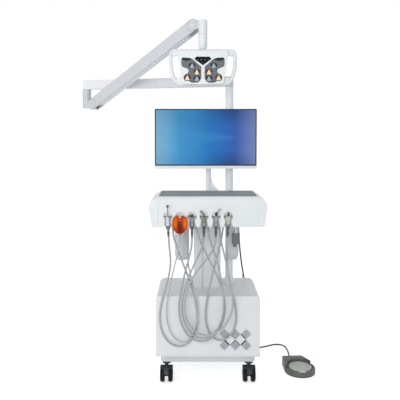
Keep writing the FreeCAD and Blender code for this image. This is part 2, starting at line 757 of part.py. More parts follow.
def upper_pivot():
    reach = at.lug + at.spring_long * cosine(at.rise_angle)
    return beyond_elbow(reach) + (at.lift_z + at.spring_long * sine(at.rise_angle),)


def knuckle_axis():
    return beyond_elbow(at.lug + at.spring_long * cosine(at.rise_angle) + at.knuckle_out)


def knuckle_foot():
    return upper_pivot()[2] - at.knuckle_under


def tilt_height():
    return knuckle_foot() - at.stem_long


def lamp_pole():
    """Pole with its foot flange, and the spigot that the arm turns on."""
    body = new_body("lamp_pole")
    r = at.pole_dia / 2
    spigot = at.spigot / 2
    low = at.cab_top
    profile = [
        (0, low), (42, low), (42, low + 8), (r + 3, low + 11), (r, low + 30), (r, at.pole_top),
        (spigot, at.pole_top), (spigot, at.pole_top + 47), (spigot - 2, at.pole_top + 49), (0, at.pole_top + 49),
    ]
    turned(body, outline(sketch(body, "XZ_Plane"), profile))
    seat(body, at.pole_x, at.pole_y, 0)


def lamp_arm():
    """Level arm, bored at both ends for the pole's and the elbow post's spigots."""
    body = new_body("lamp_arm")
    r = at.arm_wide / 2
    low = at.pole_top + at.gap
    pad(body, outline(sketch(body, "XY_Plane", low), stadium(at.arm_long, r)), at.arm_tall)
    fillet(body, 9, rim(z=low + at.arm_tall))
    fillet(body, 5, rim(z=low))
    for x in (0, at.arm_long):
        bore = circle(sketch(body, "XY_Plane", low), x, 0, at.spigot / 2 + at.run_gap)
        cut(body, bore, 50, along=True)
    seat(body, at.pole_x, at.pole_y, 0, yaw=at.arm_turn)


def tongue(body, start, end, z, r, wide):
    """A flat lug with a round end about a level pin."""
    near, far = (start, end) if num(start) < num(end) else (end, start)
    flag = outline(sketch(body, "XZ_Plane"), rectangle(near, z - r, far, z + r))
    pad(body, flag, wide, both=True)
    pad(body, circle(sketch(body, "XZ_Plane"), end, z, r), wide, both=True)
    pad(body, circle(sketch(body, "XZ_Plane"), end, z, at.pin_dia / 2), at.spring_wide, both=True)


def elbow_post():
    body = new_body("elbow_post")
    r = at.elbow_dia / 2
    spigot = at.spigot / 2
    top = at.pole_top
    profile = [
        (0, at.elbow_low), (r - 4, at.elbow_low), (r, at.elbow_low + 4, 4), (r, top - 2), (r - 2, top),
        (spigot, top), (spigot, top + 47), (spigot - 2, top + 49), (0, top + 49),
    ]
    turned(body, outline(sketch(body, "XZ_Plane"), profile))
    wide = at.spring_wide - 2 * at.cheek - 2 * at.gap
    tongue(body, 0, at.lug, at.lift_z, 20, wide)
    seat(body, *elbow(), 0, yaw=at.spring_turn)


def spring_arm():
    """Balanced arm: a long casing forked at both ends over the pivot lugs."""
    body = new_body("spring_arm")
    r = at.spring_tall / 2
    pad(body, outline(sketch(body, "XZ_Plane"), stadium(at.spring_long, r)), at.spring_wide, both=True)
    fillet(body, 6, rim(y=at.spring_wide / 2))
    fillet(body, 6, rim(y=at.spring_wide / -2))
    room = sketch(body, "XZ_Plane")
    outline(room, rectangle(-r - 8, -r - 8, r + 10, r + 8))
    outline(room, rectangle(at.spring_long - r - 10, -r - 8, at.spring_long + r + 8, r + 8))
    cut(body, room, at.spring_wide - 2 * at.cheek, both=True)
    pins = sketch(body, "XZ_Plane")
    for x in (0, at.spring_long):
        circle(pins, x, 0, at.pin_dia / 2 + at.run_gap)
    cut(body, pins, at.spring_wide * 2, both=True)
    seat(body, *lift_pivot(), yaw=at.spring_turn, pitch=-at.rise_angle)


def spring_arm_strip():
    """Cover strip that closes the underside of the casing."""
    body = new_body("spring_arm_strip")
    r = at.spring_tall / 2
    plan = rectangle(r + 26, -16, at.spring_long - r - 26, 16, 5)
    pad(body, outline(sketch(body, "XY_Plane", -r - 2), plan), 2)
    seat(body, *lift_pivot(), yaw=at.spring_turn, pitch=-at.rise_angle)


def knuckle():
    """Upper joint: the lug that the arm's fork holds, and the barrel that the lamp hangs from."""
    body = new_body("knuckle")
    r = at.knuckle_dia / 2
    z = upper_pivot()[2]
    low, top = knuckle_foot(), z + at.knuckle_over
    profile = [
        (10 + at.run_gap, low), (r, low), (r, top - 8), (r - 8, top, 8), (0, top), (0, low + 40),
        (10 + at.run_gap, low + 40),
    ]
    turned(body, outline(sketch(body, "XZ_Plane"), profile))
    wide = at.spring_wide - 2 * at.cheek - 2 * at.gap
    near = outline(sketch(body, "XZ_Plane"), rectangle(-at.knuckle_out, z - 18, -14, z + 18))
    pad(body, near, wide, both=True)
    pad(body, circle(sketch(body, "XZ_Plane"), -at.knuckle_out, z, 20), wide, both=True)
    pad(body, circle(sketch(body, "XZ_Plane"), -at.knuckle_out, z, at.pin_dia / 2), at.spring_wide, both=True)
    seat(body, *knuckle_axis(), 0, yaw=at.spring_turn)


def lamp_stem():
    """Drop tube: a spigot up into the knuckle and an eye with the tilt pin below."""
    body = new_body("lamp_stem")
    r = at.knuckle_dia / 2
    pin = tilt_height()
    low = pin + at.head_over + 4
    top = knuckle_foot() - at.gap
    profile = [
        (0, pin), (12, pin), (12, low), (r - 2, low), (r - 2, low + 9), (r, low + 11), (r, top),
        (10, top), (10, top + 36), (8, top + 38), (0, top + 38),
    ]
    turned(body, outline(sketch(body, "XZ_Plane"), profile))
    pad(body, circle(sketch(body, "YZ_Plane"), 0, pin, 15), 30, both=True)
    pad(body, circle(sketch(body, "YZ_Plane"), 0, pin, 6), 48, both=True)
    seat(body, *knuckle_axis(), 0)


# ---------------------------------------------------------------- lamp head, drawn about its tilt pin

def head_rim():
    half = at.head_wide / 2
    low = -at.head_under
    top = at.head_over
    return [
        (half - 49, low), (half - 15, low + 38, 60), (half - 1, low + 124, 260), (half - 29, top, 40),
    ]


def head_core(grow=0):
    low = 6 - at.head_under
    return [
        (88, low), (102 + grow, low + 14, 15), (122 + grow, 2), (109 + grow, 16, 13.5),
    ]


def lamp_shell():
    """Rear moulding: the rim with a grip loop at each side, and the housing behind the lights."""
    body = new_body("lamp_shell")
    frame = outline(sketch(body, "XZ_Plane", 12), head_rim() + mirrored(head_rim()))
    pad(body, frame, at.handle_dia, back=True)
    low = -at.head_under
    grip = [
        (112, low + 46, 8), (128, low + 46), (137, low + 56, 11), (149, low + 106, 190), (145, -8, 160),
        (137, 0, 8), (129, 0), (121, -8, 8), (105, low + 54),
    ]
    loops = outline(sketch(body, "XZ_Plane", 12), grip)
    outline(loops, mirrored(grip))
    cut(body, loops, at.handle_dia + 2)
    deep = at.head_deep / 2
    core = outline(sketch(body, "XZ_Plane", deep - 8), head_core() + mirrored(head_core()))
    pad(body, core, at.head_deep - 8, back=True)
    fillet(body, 10, rim(y=deep))
    notch = rectangle(-16, -26, 16, 60)
    cut(body, outline(sketch(body, "XZ_Plane", 17), notch), deep + 30)
    cut(body, circle(sketch(body, "YZ_Plane"), 0, 0, 6 + at.run_gap), 49, both=True)
    seat(body, *knuckle_axis(), tilt_height())


def wing():
    """One wing of the butterfly-shaped light field."""
    return [
        (8, -62), (8, -112), (30, -140, 30), (54, -140), (66, -132, 16), (84, -132), (95, -117, 16), (86, -99, 20),
        (72, -89, -24), (78, -71, -14), (103, -61), (106, -32, 60), (98, -17, 12), (68, -19), (34, -40, 60),
    ]


def lens_places(warm):
    right = ((30, -87), (77, -115)) if warm else ((53, -56), (30, -119))
    return [(side * x, z) for x, z in right for side in (-1, 1)]


def panel():
    return [(0, -55), (42, -24), (33, -13), (-33, -13), (-42, -24)]


def lamp_front():
    """Front cover, with shallow recesses for the wings and the touch panel."""
    body = new_body("lamp_front")
    deep = at.head_deep / 2
    core = outline(sketch(body, "XZ_Plane", deep), head_core(2) + mirrored(head_core(2)))
    pad(body, core, 8, back=True)
    fillet(body, 3, rim(y=-deep))
    recess = outline(sketch(body, "XZ_Plane", deep), wing())
    outline(recess, mirrored(wing()))
    outline(recess, panel())
    cut(body, recess, 2)
    seat(body, *knuckle_axis(), tilt_height())


def lamp_wings():
    body = new_body("lamp_wings")
    away = at.head_deep / 2 - 2
    both = outline(sketch(body, "XZ_Plane", away), wing())
    outline(both, mirrored(wing()))
    pad(body, both, 2.5)
    holes = sketch(body, "XZ_Plane", away)
    for x, z in lens_places(True) + lens_places(False):
        circle(holes, x, z, at.lens_dia / 2)
    cut(body, holes, 5, along=True)
    seat(body, *knuckle_axis(), tilt_height())


def lamp_lenses(name, warm):
    """Four lenses with bevelled rims, a running gap inside their holes in the wings."""
    body = new_body(name)
    r = at.lens_dia / 2
    away = at.head_deep / 2 - 2
    for x, z in lens_places(warm):
        pad(body, circle(sketch(body, "XZ_Plane", away), x, z, r - 0.3), 3)
    fillet(body, 1.8, rim(y=-away - 3), "Chamfer")
    seat(body, *knuckle_axis(), tilt_height())


def touch_panel():
    body = new_body("touch_panel")
    away = at.head_deep / 2 - 2
    pad(body, outline(sketch(body, "XZ_Plane", away), panel()), 2.4)
    seat(body, *knuckle_axis(), tilt_height())


# ---------------------------------------------------------------- monitor

def monitor_post():
    """Post on a bracket behind the delivery head, with a thin bearing spigot."""
    body = new_body("monitor_post")
    r = at.post_dia / 2
    low = at.tray_top - 82
    top = at.screen_low + 104
    profile = [
        (0, low), (21, low), (21, low + 56), (r + 2, low + 64), (r, low + 84), (r, top), (9, top), (9, top + 34),
        (0, top + 34),
    ]
    turned(body, outline(sketch(body, "XZ_Plane"), profile))
    near = at.tray_back - at.post_y
    pad(body, outline(sketch(body, "XY_Plane", low), rectangle(-33, near, 33, near + 8)), 56)
    pad(body, outline(sketch(body, "XY_Plane", low + 6), rectangle(-13, near, 13, 0)), 44)
    seat(body, at.post_x, at.post_y, 0)


def yoke_pivot():
    return (at.screen_front + at.screen_deep + 14 - at.post_y, at.screen_low + 128)


def monitor_yoke():
    """Swivel sleeve on the post's spigot, with the lug of the tilt pin."""
    body = new_body("monitor_yoke")
    low = at.screen_low + 104 + at.gap
    bore = 9 + at.run_gap
    profile = [(bore, low), (17, low), (17, low + 44), (13, low + 48), (0, low + 48), (0, low + 36), (bore, low + 36)]
    turned(body, outline(sketch(body, "XZ_Plane"), profile))
    y, z = yoke_pivot()
    pad(body, outline(sketch(body, "YZ_Plane"), rectangle(y, z - 9, -11, z + 9)), 22, both=True)
    pad(body, circle(sketch(body, "YZ_Plane"), y, z, 9), 22, both=True)
    cut(body, circle(sketch(body, "YZ_Plane"), y, z, 4 + at.run_gap), 60, both=True)
    seat(body, at.post_x, at.post_y, 0)


def monitor_back():
    """Rear shell with a chin below the screen, and the ears and pin of the tilt joint."""
    body = new_body("monitor_back")
    half = at.screen_wide / 2
    low, top = at.screen_low, at.screen_top
    x = -at.screen_x
    face = outline(sketch(body, "XZ_Plane", -at.screen_front - 9), rectangle(x - half, low, x + half, top, 5))
    pad(body, face, 10, back=True)
    chin = outline(sketch(body, "XZ_Plane", -at.screen_front), rectangle(x - half, low, x + half, low + at.chin, 4))
    pad(body, chin, 9.5, back=True)
    hump = rectangle(x - 190, low + 30, x + 190, top - 45, 30)
    pad(body, outline(sketch(body, "XZ_Plane", -at.screen_front - 19), hump), at.screen_deep - 19, back=True)
    fillet(body, 7, rim(y=at.screen_front + at.screen_deep))
    pivot, z = yoke_pivot()
    y = pivot + at.post_y
    for side in (-1, 1):
        ear = sketch(body, "YZ_Plane", at.post_x + side * 15.5)
        outline(ear, [(y - 15, z - 12), (y, z - 9), (y + 9, z, 9), (y, z + 9, 9), (y - 15, z + 12)])
        pad(body, ear, 7, both=True)
    pad(body, circle(sketch(body, "YZ_Plane", at.post_x), y, z, 4), 38, both=True)
    seat(body, 0, 0, 0)


def monitor_bezel():
    body = new_body("monitor_bezel")
    half = at.screen_wide / 2
    x = -at.screen_x
    low = at.screen_low + at.chin
    face = outline(sketch(body, "XZ_Plane", -at.screen_front), rectangle(x - half, low, x + half, at.screen_top, 3))
    pad(body, face, 9, back=True)
    edge = at.border
    glass = rectangle(x - half + edge, low + at.foot_border, x + half - edge, at.screen_top - edge)
    cut(body, outline(sketch(body, "XZ_Plane", -at.screen_front), glass), 3)
    seat(body, 0, 0, 0)


def monitor_screen():
    body = new_body("monitor_screen")
    half = at.screen_wide / 2 - at.border
    x = -at.screen_x
    low = at.screen_low + at.chin + at.foot_border
    glass = rectangle(x - half, low, x + half, at.screen_top - at.border)
    pad(body, outline(sketch(body, "XZ_Plane", -at.screen_front - 1), glass), 2, back=True)
    seat(body, 0, 0, 0)


# ---------------------------------------------------------------- instruments, drawn with +Z from the tail up

def stalk(name, place, profile):
    """A turned handpiece: hose nipple, shaft through the cup, collar that rests on it, and its nose."""
    body = new_body(name)
    r = at.body_dia / 2
    seat_at = at.cup_from + at.cup_deep + at.gap
    shaft = [
        (0, 0), (5.8, 0), (5.8, 9), (r - 1.6, 13), (r, at.cup_from - 2), (r, seat_at), (r + 3, seat_at),
        (r + 3, seat_at + 4),
    ]
    nose = [(radius, seat_at + reach) for radius, reach in profile]
    turned(body, outline(sketch(body, "XZ_Plane"), shaft + nose))
    seat(body, slots()[place], -at.tail_y, at.tail_z, roll=at.lean_angle)
    return body, seat_at


def rod(body, y, z, pitch, radius, length, spin=0):
    """A straight pin that leans towards -Y by the pitch, in the middle plane or one spun about Z."""
    pad(body, circle(tilted(body, y, z, pitch, spin), 0, 0, radius), length)


def oral_camera():
    profile = [(9, 7), (8, 30), (4, 44), (2.4, 50), (2.4, 82), (4.6, 86), (5.5, 90), (5.5, 96), (0, 98)]
    stalk("oral_camera", 0, profile)


def curing_light():
    body, z = stalk("curing_light", 1, [(8.6, 6), (8.6, 9), (7, 10.5), (4, 17), (4, 46), (0, 46)])
    rod(body, 0, z + 44, 40, 4, 14)


def scaler():
    body, z = stalk("scaler", 2, [(9, 7), (8.6, 20), (6.4, 34), (4.2, 42), (3, 46), (0, 46)])
    rod(body, 0, z + 44, 20, 1.7, 11, spin=-75)
    rod(body, -3.5, z + 53.5, 112, 1.1, 24, spin=-75)


def contra_angle():
    """Bent neck with a round head across it: push button on one end, bur in the other."""
    turn = -60
    body, z = stalk("contra_angle", 3, [(9, 7), (9, 20), (7.6, 24), (7.6, 34), (6.4, 38), (0, 38)])
    rod(body, 1.5, z + 33, 20, 5.2, 22, spin=turn)
    rod(body, 0.5, z + 57, 112, 4.8, 12, spin=turn)
    rod(body, -10, z + 52.8, 112, 3.6, 2.8, spin=turn)
    rod(body, 0, z + 56.8, 292, 0.9, 11, spin=turn)


def turbine():
    """Coupling with a ball end, a slender neck aside from it and a small head."""
    turn = 80
    ball = [(4.4, 33), (5.6, 36.5), (5.6, 42), (4.4, 45.5), (0, 45.5)]
    body, z = stalk("turbine", 4, [(9, 7), (9, 16), (7.6, 20), (7, 28)] + ball)
    rod(body, 0, z + 40, 48, 2.4, 22, spin=turn)
    rod(body, -12.6, z + 57.8, 138, 3.6, 9, spin=turn)
    rod(body, -13, z + 57.4, 318, 0.8, 8, spin=turn)


def syringe():
    """Three-way syringe: a flaring body with its two buttons in front, and a bent nozzle."""
    body, z = stalk("syringe", 5, [(8.8, 6), (9, 12), (12, 28), (12, 32), (7, 37), (0, 37)])
    rod(body, -8, z + 14, 90, 2.6, 5)
    rod(body, -8, z + 24, 90, 2.6, 5.5)
    rod(body, 1, z + 34, 15, 2.8, 20)
    rod(body, -3.4, z + 51.5, 45, 2, 16)


def instruments():
    oral_camera()
    curing_light()
    scaler()
    contra_angle()
    turbine()
    syringe()


def curing_shield():
    """Oval eye shield, bent round towards the operator and held on the light guide."""
    body = new_body("curing_shield")
    drop = -33
    bent = [(38, -6.5), (-38, -6.5, 114.3), (-38, -9.05), (38, -9.05, -111.9)]
    pad(body, outline(sketch(body, "XY_Plane", drop - 50), bent), 100)
    around = outline(sketch(body, "XZ_Plane", -2), rectangle(-60, drop - 60, 60, drop + 60))
    oval = [(0, drop - 44, 42), (35, drop, 42), (21, drop + 37, 60), (-21, drop + 37), (-35, drop, 60)]
    outline(around, oval)
    cut(body, around, 40, along=True)
    cut(body, circle(tilted(body, 0, 0, at.lean_angle), 0, 0, 4.1), 60, both=True)
    y, z = lean_point(at.cup_from + at.cup_deep + at.gap + 28, 0)
    seat(body, slots()[1], y, z)


# ---------------------------------------------------------------- foot control

def pedal_base():
    body = new_body("pedal_base")
    r = at.pedal_dia / 2
    plan = [(0, 10 - r, r), (r, 10, r), (r - 4, 84), (r - 28, 116), (16 - r, 116), (4 - r, 104, 12), (-r, 10)]
    pad(body, outline(sketch(body, "XY_Plane"), plan), at.pedal_tall)
    fillet(body, 7, rim(z=at.pedal_tall))
    well = circle(sketch(body, "XY_Plane", at.pedal_tall), 0, 12, 30.3)
    cut(body, well, 14)
    pad(body, circle(sketch(body, "XZ_Plane", -110), -30, 14, 7), 18, back=True)
    seat(body, at.pedal_x, -at.pedal_y, 0, yaw=at.pedal_turn)


def pedal_disc():
    """Tread plate on a guide boss; it sinks against a spring."""
    body = new_body("pedal_disc")
    r = at.disc_dia / 2
    low = at.pedal_tall - 5.7
    top = at.pedal_tall + 15
    profile = [
        (0, low), (30, low), (30, at.pedal_tall + 6), (r, at.pedal_tall + 6), (r, top - 5), (r - 5, top, 5),
        (0, top),
    ]
    turned(body, outline(sketch(body, "XZ_Plane"), profile))
    notch = [(-9, -r - 3), (9, -r - 3), (5, 7 - r), (0, 3 - r), (-5, 7 - r)]
    cut(body, outline(sketch(body, "XY_Plane", top), notch), 4)
    x, y = at.pedal_x - 12 * sine(at.pedal_turn), 12 * cosine(at.pedal_turn) - at.pedal_y
    seat(body, x, y, 0, yaw=at.pedal_turn)


# ---------------------------------------------------------------- hoses and cables

# Routes are (x, y, z) from the cart's axis: from the instrument's tail, down, round and up to its outlet.
CAMERA_HOSE = [
    (-196, -179.7, 764.5), (-196, -163.2, 735.9), (-190, -170, 668), (-183, -183, 603), (-200, -183, 518),
    (-225, -183, 439), (-242, -183, 355), (-235, -183, 275), (-200, -183, 211), (-138, -183, 184),
    (-81, -183, 218), (-52, -183, 290), (-55, -183, 390), (-79, -183, 494), (-115, -183, 583),
    (-150, -164, 672), (-172, -149, 730), (-176, -148, 786), (-176, -147, 828),
]
CURING_HOSE = [
    (-138, -179.7, 764.5), (-138, -163.2, 735.9), (-147, -180, 672), (-163, -195, 606), (-185, -195, 517),
    (-202, -195, 428), (-207, -195, 334), (-183, -195, 250), (-126, -195, 208), (-74, -195, 246),
    (-49, -195, 322), (-55, -195, 418), (-76, -195, 512), (-98, -191, 601), (-106, -170, 672),
    (-115, -151, 732), (-118, -148, 786), (-118, -147, 828),
]
SCALER_HOSE = [
    (-79, -179.7, 764.5), (-79, -163.2, 735.9), (-82, -182, 682), (-96, -207, 632), (-116, -207, 559),
    (-135, -207, 471), (-147, -207, 382), (-128, -207, 293), (-79, -207, 232), (-10, -207, 222),
    (49, -207, 269), (84, -207, 352), (81, -207, 446), (57, -207, 525), (20, -204, 600),
    (-16, -174, 668), (-46, -152, 728), (-59, -148, 786), (-59, -147, 828),
]
CONTRA_HOSE = [
    (-20, -179.7, 764.5), (-20, -163.2, 735.9), (-28, -183, 686), (-56, -214, 638), (-90, -220, 564),
    (-118, -220, 484), (-134, -220, 395), (-115, -220, 312), (-69, -220, 253), (-5, -220, 242),
    (49, -220, 288), (76, -220, 366), (76, -220, 459), (63, -220, 547), (46, -208, 618),
    (25, -170, 678), (6, -151, 732), (0, -148, 786), (0, -147, 828),
]
TURBINE_HOSE = [
    (39, -179.7, 764.5), (39, -163.2, 735.9), (33, -183, 687), (-2, -213, 642), (-46, -231, 596),
    (-90, -233, 530), (-114, -233, 450), (-118, -233, 370), (-88, -233, 301), (-30, -233, 262),
    (34, -233, 272), (87, -233, 316), (121, -233, 389), (119, -233, 477), (102, -231, 560),
    (84, -212, 634), (70, -178, 694), (62, -152, 740), (59, -148, 786), (59, -147, 828),
]
SYRINGE_HOSE = [
    (98, -179.7, 764.5), (98, -163.2, 735.9), (94, -170, 668), (95, -183, 593), (110, -183, 504),
    (132, -183, 414), (144, -183, 325), (117, -183, 243), (55, -183, 213), (3, -183, 256),
    (-16, -183, 335), (-4, -183, 434), (15, -183, 523), (35, -178, 606), (56, -158, 672),
    (70, -136, 730), (78, -132, 786), (78, -131, 828),
]
UMBILICAL = [
    (166, 62, 834), (166, 63, 800), (170, 70, 745), (175, 84, 680), (181, 103, 612),
    (190, 121, 545), (200, 138, 490), (205, 147, 455),
]
PEDAL_CABLE = [
    (190, 200, 160), (190, 224, 157), (193, 246, 140), (198, 262, 110), (206, 272, 76),
    (219, 278, 44), (240, 281, 20), (268, 279, 8), (302, 272, 4), (340, 284, 4),
    (378, 308, 4), (410, 322, 4), (440, 318, 4), (459, 296, 4), (466, 262, 4),
    (467, 226, 4), (466, 190, 4), (462, 156, 4), (452, 126, 6), (440, 97, 12), (442.6, 69.2, 14),
]


def cord(name, diameter, route):
    """A tube along straight runs joined by tangent arcs, each as large as its two runs allow."""
    spots = [Vector(*spot) for spot in route]
    sides = []
    start = spots[0]
    tightest = 1e9
    for before, here, after in zip(spots, spots[1:], spots[2:]):
        coming, going = here - before, after - here
        reach = 0.45 * min(coming.Length, going.Length)
        half = coming.getAngle(going) / 2
        radius = reach / math.tan(half)
        tightest = min(tightest, radius)
        coming.normalize()
        going.normalize()
        enter, leave = here - coming * reach, here + going * reach
        inward = (going - coming).normalize()
        middle = here + inward * (radius / math.cos(half) - radius)
        sides += [Part.LineSegment(start, enter).toShape(), Part.Arc(enter, middle, leave).toShape()]
        start = leave
    sides.append(Part.LineSegment(start, spots[-1]).toShape())
    line = Part.Wire(sides)
    ring = Part.Wire(Part.Circle(spots[0], spots[1] - spots[0], diameter / 2).toShape())
    tube = line.makePipeShell([ring], True, False)
    section = math.pi * diameter ** 2 / 4
    if abs(tube.Volume / (section * line.Length) - 1) > 0.01:
        raise ValueError(f"{name}: the tube's volume is off")
    print(f"{name}: {line.Length:.0f} mm long, smallest radius {tightest:.0f} mm")
    thing = doc.addObject("Part::Feature", name)
    thing.Label = name
    thing.Shape = tube
    thing.Placement.Base = Vector(num(at.cart_x), num(at.cart_y), 0)
    parts.append(thing)


def cords():
    hose = SIZES["hose_dia"]
    cord("hose_camera", hose, CAMERA_HOSE)
    cord("hose_curing", SIZES["thin_hose_dia"], CURING_HOSE)
    cord("hose_scaler", hose, SCALER_HOSE)
    cord("hose_contra", hose, CONTRA_HOSE)
    cord("hose_turbine", hose, TURBINE_HOSE)
    cord("hose_syringe", hose, SYRINGE_HOSE)
    cord("umbilical_cable", SIZES["cable_dia"], UMBILICAL)
    cord("pedal_cable", SIZES["cable_dia"], PEDAL_CABLE)


def finish():
    doc.recompute()
    for thing in doc.Objects:
        if "Invalid" in thing.State or "Error" in thing.State:
            raise ValueError(f"{thing.Label} failed: {thing.State}")
    os.makedirs("parts", exist_ok=True)
    for part in parts:
        if part.Shape.isNull() or not part.Shape.isValid() or part.Shape.Volume <= 0:
            raise ValueError(f"{part.Label} has no sound shape")
        part.Shape.exportStep(f"parts/{part.Label}.step")


base_chassis()
casters()
cabinet_shell()
vent_grilles()
back_panel()
mains_inlet()
compressor()
column()
tray_body()
tray_mat()
tray_underside()
holder_rail()
bottle_cap()
water_bottle()
suction_lid()
suction_jar()
lamp_pole()
lamp_arm()
elbow_post()
spring_arm()
spring_arm_strip()
knuckle()
lamp_stem()
lamp_shell()
lamp_front()
lamp_wings()
lamp_lenses("warm_lenses", True)
lamp_lenses("cool_lenses", False)
touch_panel()
monitor_post()
monitor_yoke()
monitor_back()
monitor_bezel()
monitor_screen()
instruments()
curing_shield()
pedal_base()
pedal_disc()
cords()
finish()
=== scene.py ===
import math

import bmesh
import bpy
from mathutils import Matrix, Vector


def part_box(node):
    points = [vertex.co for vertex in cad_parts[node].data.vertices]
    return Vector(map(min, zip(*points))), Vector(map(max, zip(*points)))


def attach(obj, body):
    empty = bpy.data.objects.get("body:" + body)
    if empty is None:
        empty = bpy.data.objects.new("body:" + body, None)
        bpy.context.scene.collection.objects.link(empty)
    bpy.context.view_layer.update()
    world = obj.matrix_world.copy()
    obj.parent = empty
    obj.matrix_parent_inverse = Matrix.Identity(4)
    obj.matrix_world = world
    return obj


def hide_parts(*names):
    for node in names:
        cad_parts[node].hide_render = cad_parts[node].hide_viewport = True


# Dresses the portable dental unit. Metres, +Z up, the operator on the -Y side.
# Profiles and outlines are in millimetres from a piece's own centre, and divided by MM.
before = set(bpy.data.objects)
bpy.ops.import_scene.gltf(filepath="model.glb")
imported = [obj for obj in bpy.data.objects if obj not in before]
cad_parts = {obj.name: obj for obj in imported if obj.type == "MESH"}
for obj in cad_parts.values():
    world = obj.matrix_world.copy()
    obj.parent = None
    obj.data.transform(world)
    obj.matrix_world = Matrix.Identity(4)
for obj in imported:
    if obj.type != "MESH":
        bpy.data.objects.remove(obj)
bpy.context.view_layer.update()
MM = 1000
CART_X, CART_Y = 0.0756, -0.0492
CAMERA_PLACE, CAMERA_DIP = (0.0151, -2.9067, 1.25), 2.57
CAMERA_LENS, CAMERA_SHIFT = 49.16, (0.0106, -0.105)
HOSE, THIN_HOSE, CABLE = 0.0095, 0.007, 0.008


# ---------------- camera

def camera():
    """Stands 2.6 m in front of the tray, level with the monitor, and dips a little."""
    data = bpy.data.cameras.new("camera")
    data.lens = CAMERA_LENS
    data.sensor_width = 36
    data.shift_x, data.shift_y = CAMERA_SHIFT
    thing = shown("camera", data)
    thing.location = CAMERA_PLACE
    thing.rotation_euler = (math.radians(90 - CAMERA_DIP), 0, 0)
    bpy.context.scene.camera = thing


# ---------------- shapes

def srgb(red, green, blue):
    """A colour as it looks, in 0 to 255, as the linear values that shaders take."""
    return tuple((v / 255 / 12.92) if v < 11 else ((v / 255 + 0.055) / 1.055) ** 2.4 for v in (red, green, blue))


def shown(name, data):
    """A new object in the scene that carries some mesh, curve, camera or lamp data."""
    thing = bpy.data.objects.new(name, data)
    bpy.context.scene.collection.objects.link(thing)
    return thing


def piece(name, made, key, body, *nodes, slot, sharp=40):
    """Turns a bmesh into a shown piece, smooth except along its sharp edges."""
    bmesh.ops.recalc_face_normals(made, faces=made.faces)
    mesh = bpy.data.meshes.new(name)
    made.to_mesh(mesh)
    made.free()
    mesh.polygons.foreach_set("use_smooth", [True] * len(mesh.polygons))
    mesh.set_sharp_from_angle(angle=math.radians(sharp))
    mesh.materials.append(palette[key])
    return declared(shown(name, mesh), body, nodes)


def declared(thing, body, nodes):
    """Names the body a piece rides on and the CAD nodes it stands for."""
    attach(thing, body)
    if nodes:
        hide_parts(*nodes)
    return thing


def nurbs(name, points, diameter, resolution, bevel, key):
    """A round tube along a NURBS line that has the given points as its control points."""
    curve = bpy.data.curves.new(name, "CURVE")
    curve.dimensions = "3D"
    spline = curve.splines.new("NURBS")
    spline.points.add(len(points) - 1)
    for point, place in zip(spline.points, points):
        point.co = (*place, 1)
    spline.order_u = 3
    spline.resolution_u = resolution
    curve.bevel_depth = diameter / 2
    curve.bevel_resolution = bevel
    curve.materials.append(palette[key])
    return shown(name, curve), spline


def rounded(corners, steps=7):
    """An outline in millimetres whose corners (x, z, radius) are turned into arcs."""
    points = []
    for i, (x, z, *radius) in enumerate(corners):
        here = Vector((x, z))
        if not radius:
            points.append(here)
            continue
        before = Vector(corners[i - 1][:2]) - here
        after = Vector(corners[(i + 1) % len(corners)][:2]) - here
        half = before.angle(after) / 2
        run = min(radius[0] / math.tan(half), 0.48 * before.length, 0.48 * after.length)
        start, end = here + before.normalized() * run, here + after.normalized() * run
        middle = here + (before.normalized() + after.normalized()).normalized() * (run / math.cos(half))
        first, last = start - middle, end - middle
        turn = math.atan2(first.x * last.y - first.y * last.x, first.dot(last))
        for k in range(steps + 1):
            points.append(middle + Matrix.Rotation(turn * k / steps, 2) @ first)
    return points


def mirrored(corners):
    """The same corners on the other side, in the order that goes on round the outline."""
    return [(-x, *rest) for x, *rest in reversed(corners)]


def plates(made, outlines, back, front, at, bevel=0.0):
    """Plates in the XZ plane between two depths in millimetres, with rounded rims."""
    for outline in outlines:
        ring = [made.verts.new((at.x + x / MM, at.y + back / MM, at.z + z / MM)) for x, z in outline]
        face = made.faces.new(ring)
        grown = bmesh.ops.extrude_face_region(made, geom=[face])["geom"]
        verts = [v for v in grown if isinstance(v, bmesh.types.BMVert)]
        bmesh.ops.translate(made, vec=(0, (front - back) / MM, 0), verts=verts)
        if bevel:
            made.normal_update()
            own = set(ring) | set(verts)
            faces = [f for f in made.faces if all(v in own for v in f.verts) and abs(f.normal.y) > 0.9]
            rims = {e for f in faces for e in f.edges}
            bmesh.ops.bevel(made, geom=list(rims), offset=bevel / MM, segments=3, profile=0.5, affect="EDGES")


def lathe(made, centre, axis, side, profile, sides=32, uv=None):
    """Turns a profile of (radius, height) in millimetres about an axis, closed at both ends."""
    over = axis.cross(side)
    rings = []
    for radius, height in profile:
        base = centre + axis * height / MM
        if radius == 0:
            rings.append([made.verts.new(base)])
            continue
        turns = [2 * math.pi * k / sides for k in range(sides)]
        rings.append([
            made.verts.new(base + (side * math.cos(t) + over * math.sin(t)) * radius / MM) for t in turns
        ])
    faces = [made.faces.new(rings[0])] if len(rings[0]) > 1 else []
    for low, high in zip(rings, rings[1:]):
        for k in range(sides):
            if len(high) == 1:
                faces.append(made.faces.new((low[k], low[k - 1], high[0])))
            elif len(low) == 1:
                faces.append(made.faces.new((low[0], high[k - 1], high[k])))
            else:
                faces.append(made.faces.new((low[k], low[k - 1], high[k - 1], high[k])))
    if len(rings[-1]) > 1:
        faces.append(made.faces.new(rings[-1]))
    if uv:
        widest = max(radius for radius, height in profile) / MM
        for face in faces:
            for loop in face.loops:
                away = loop.vert.co - centre
                loop[uv].uv = (away.dot(side) / widest / 2 + 0.5, away.dot(over) / widest / 2 + 0.5)


# ---------------- cords

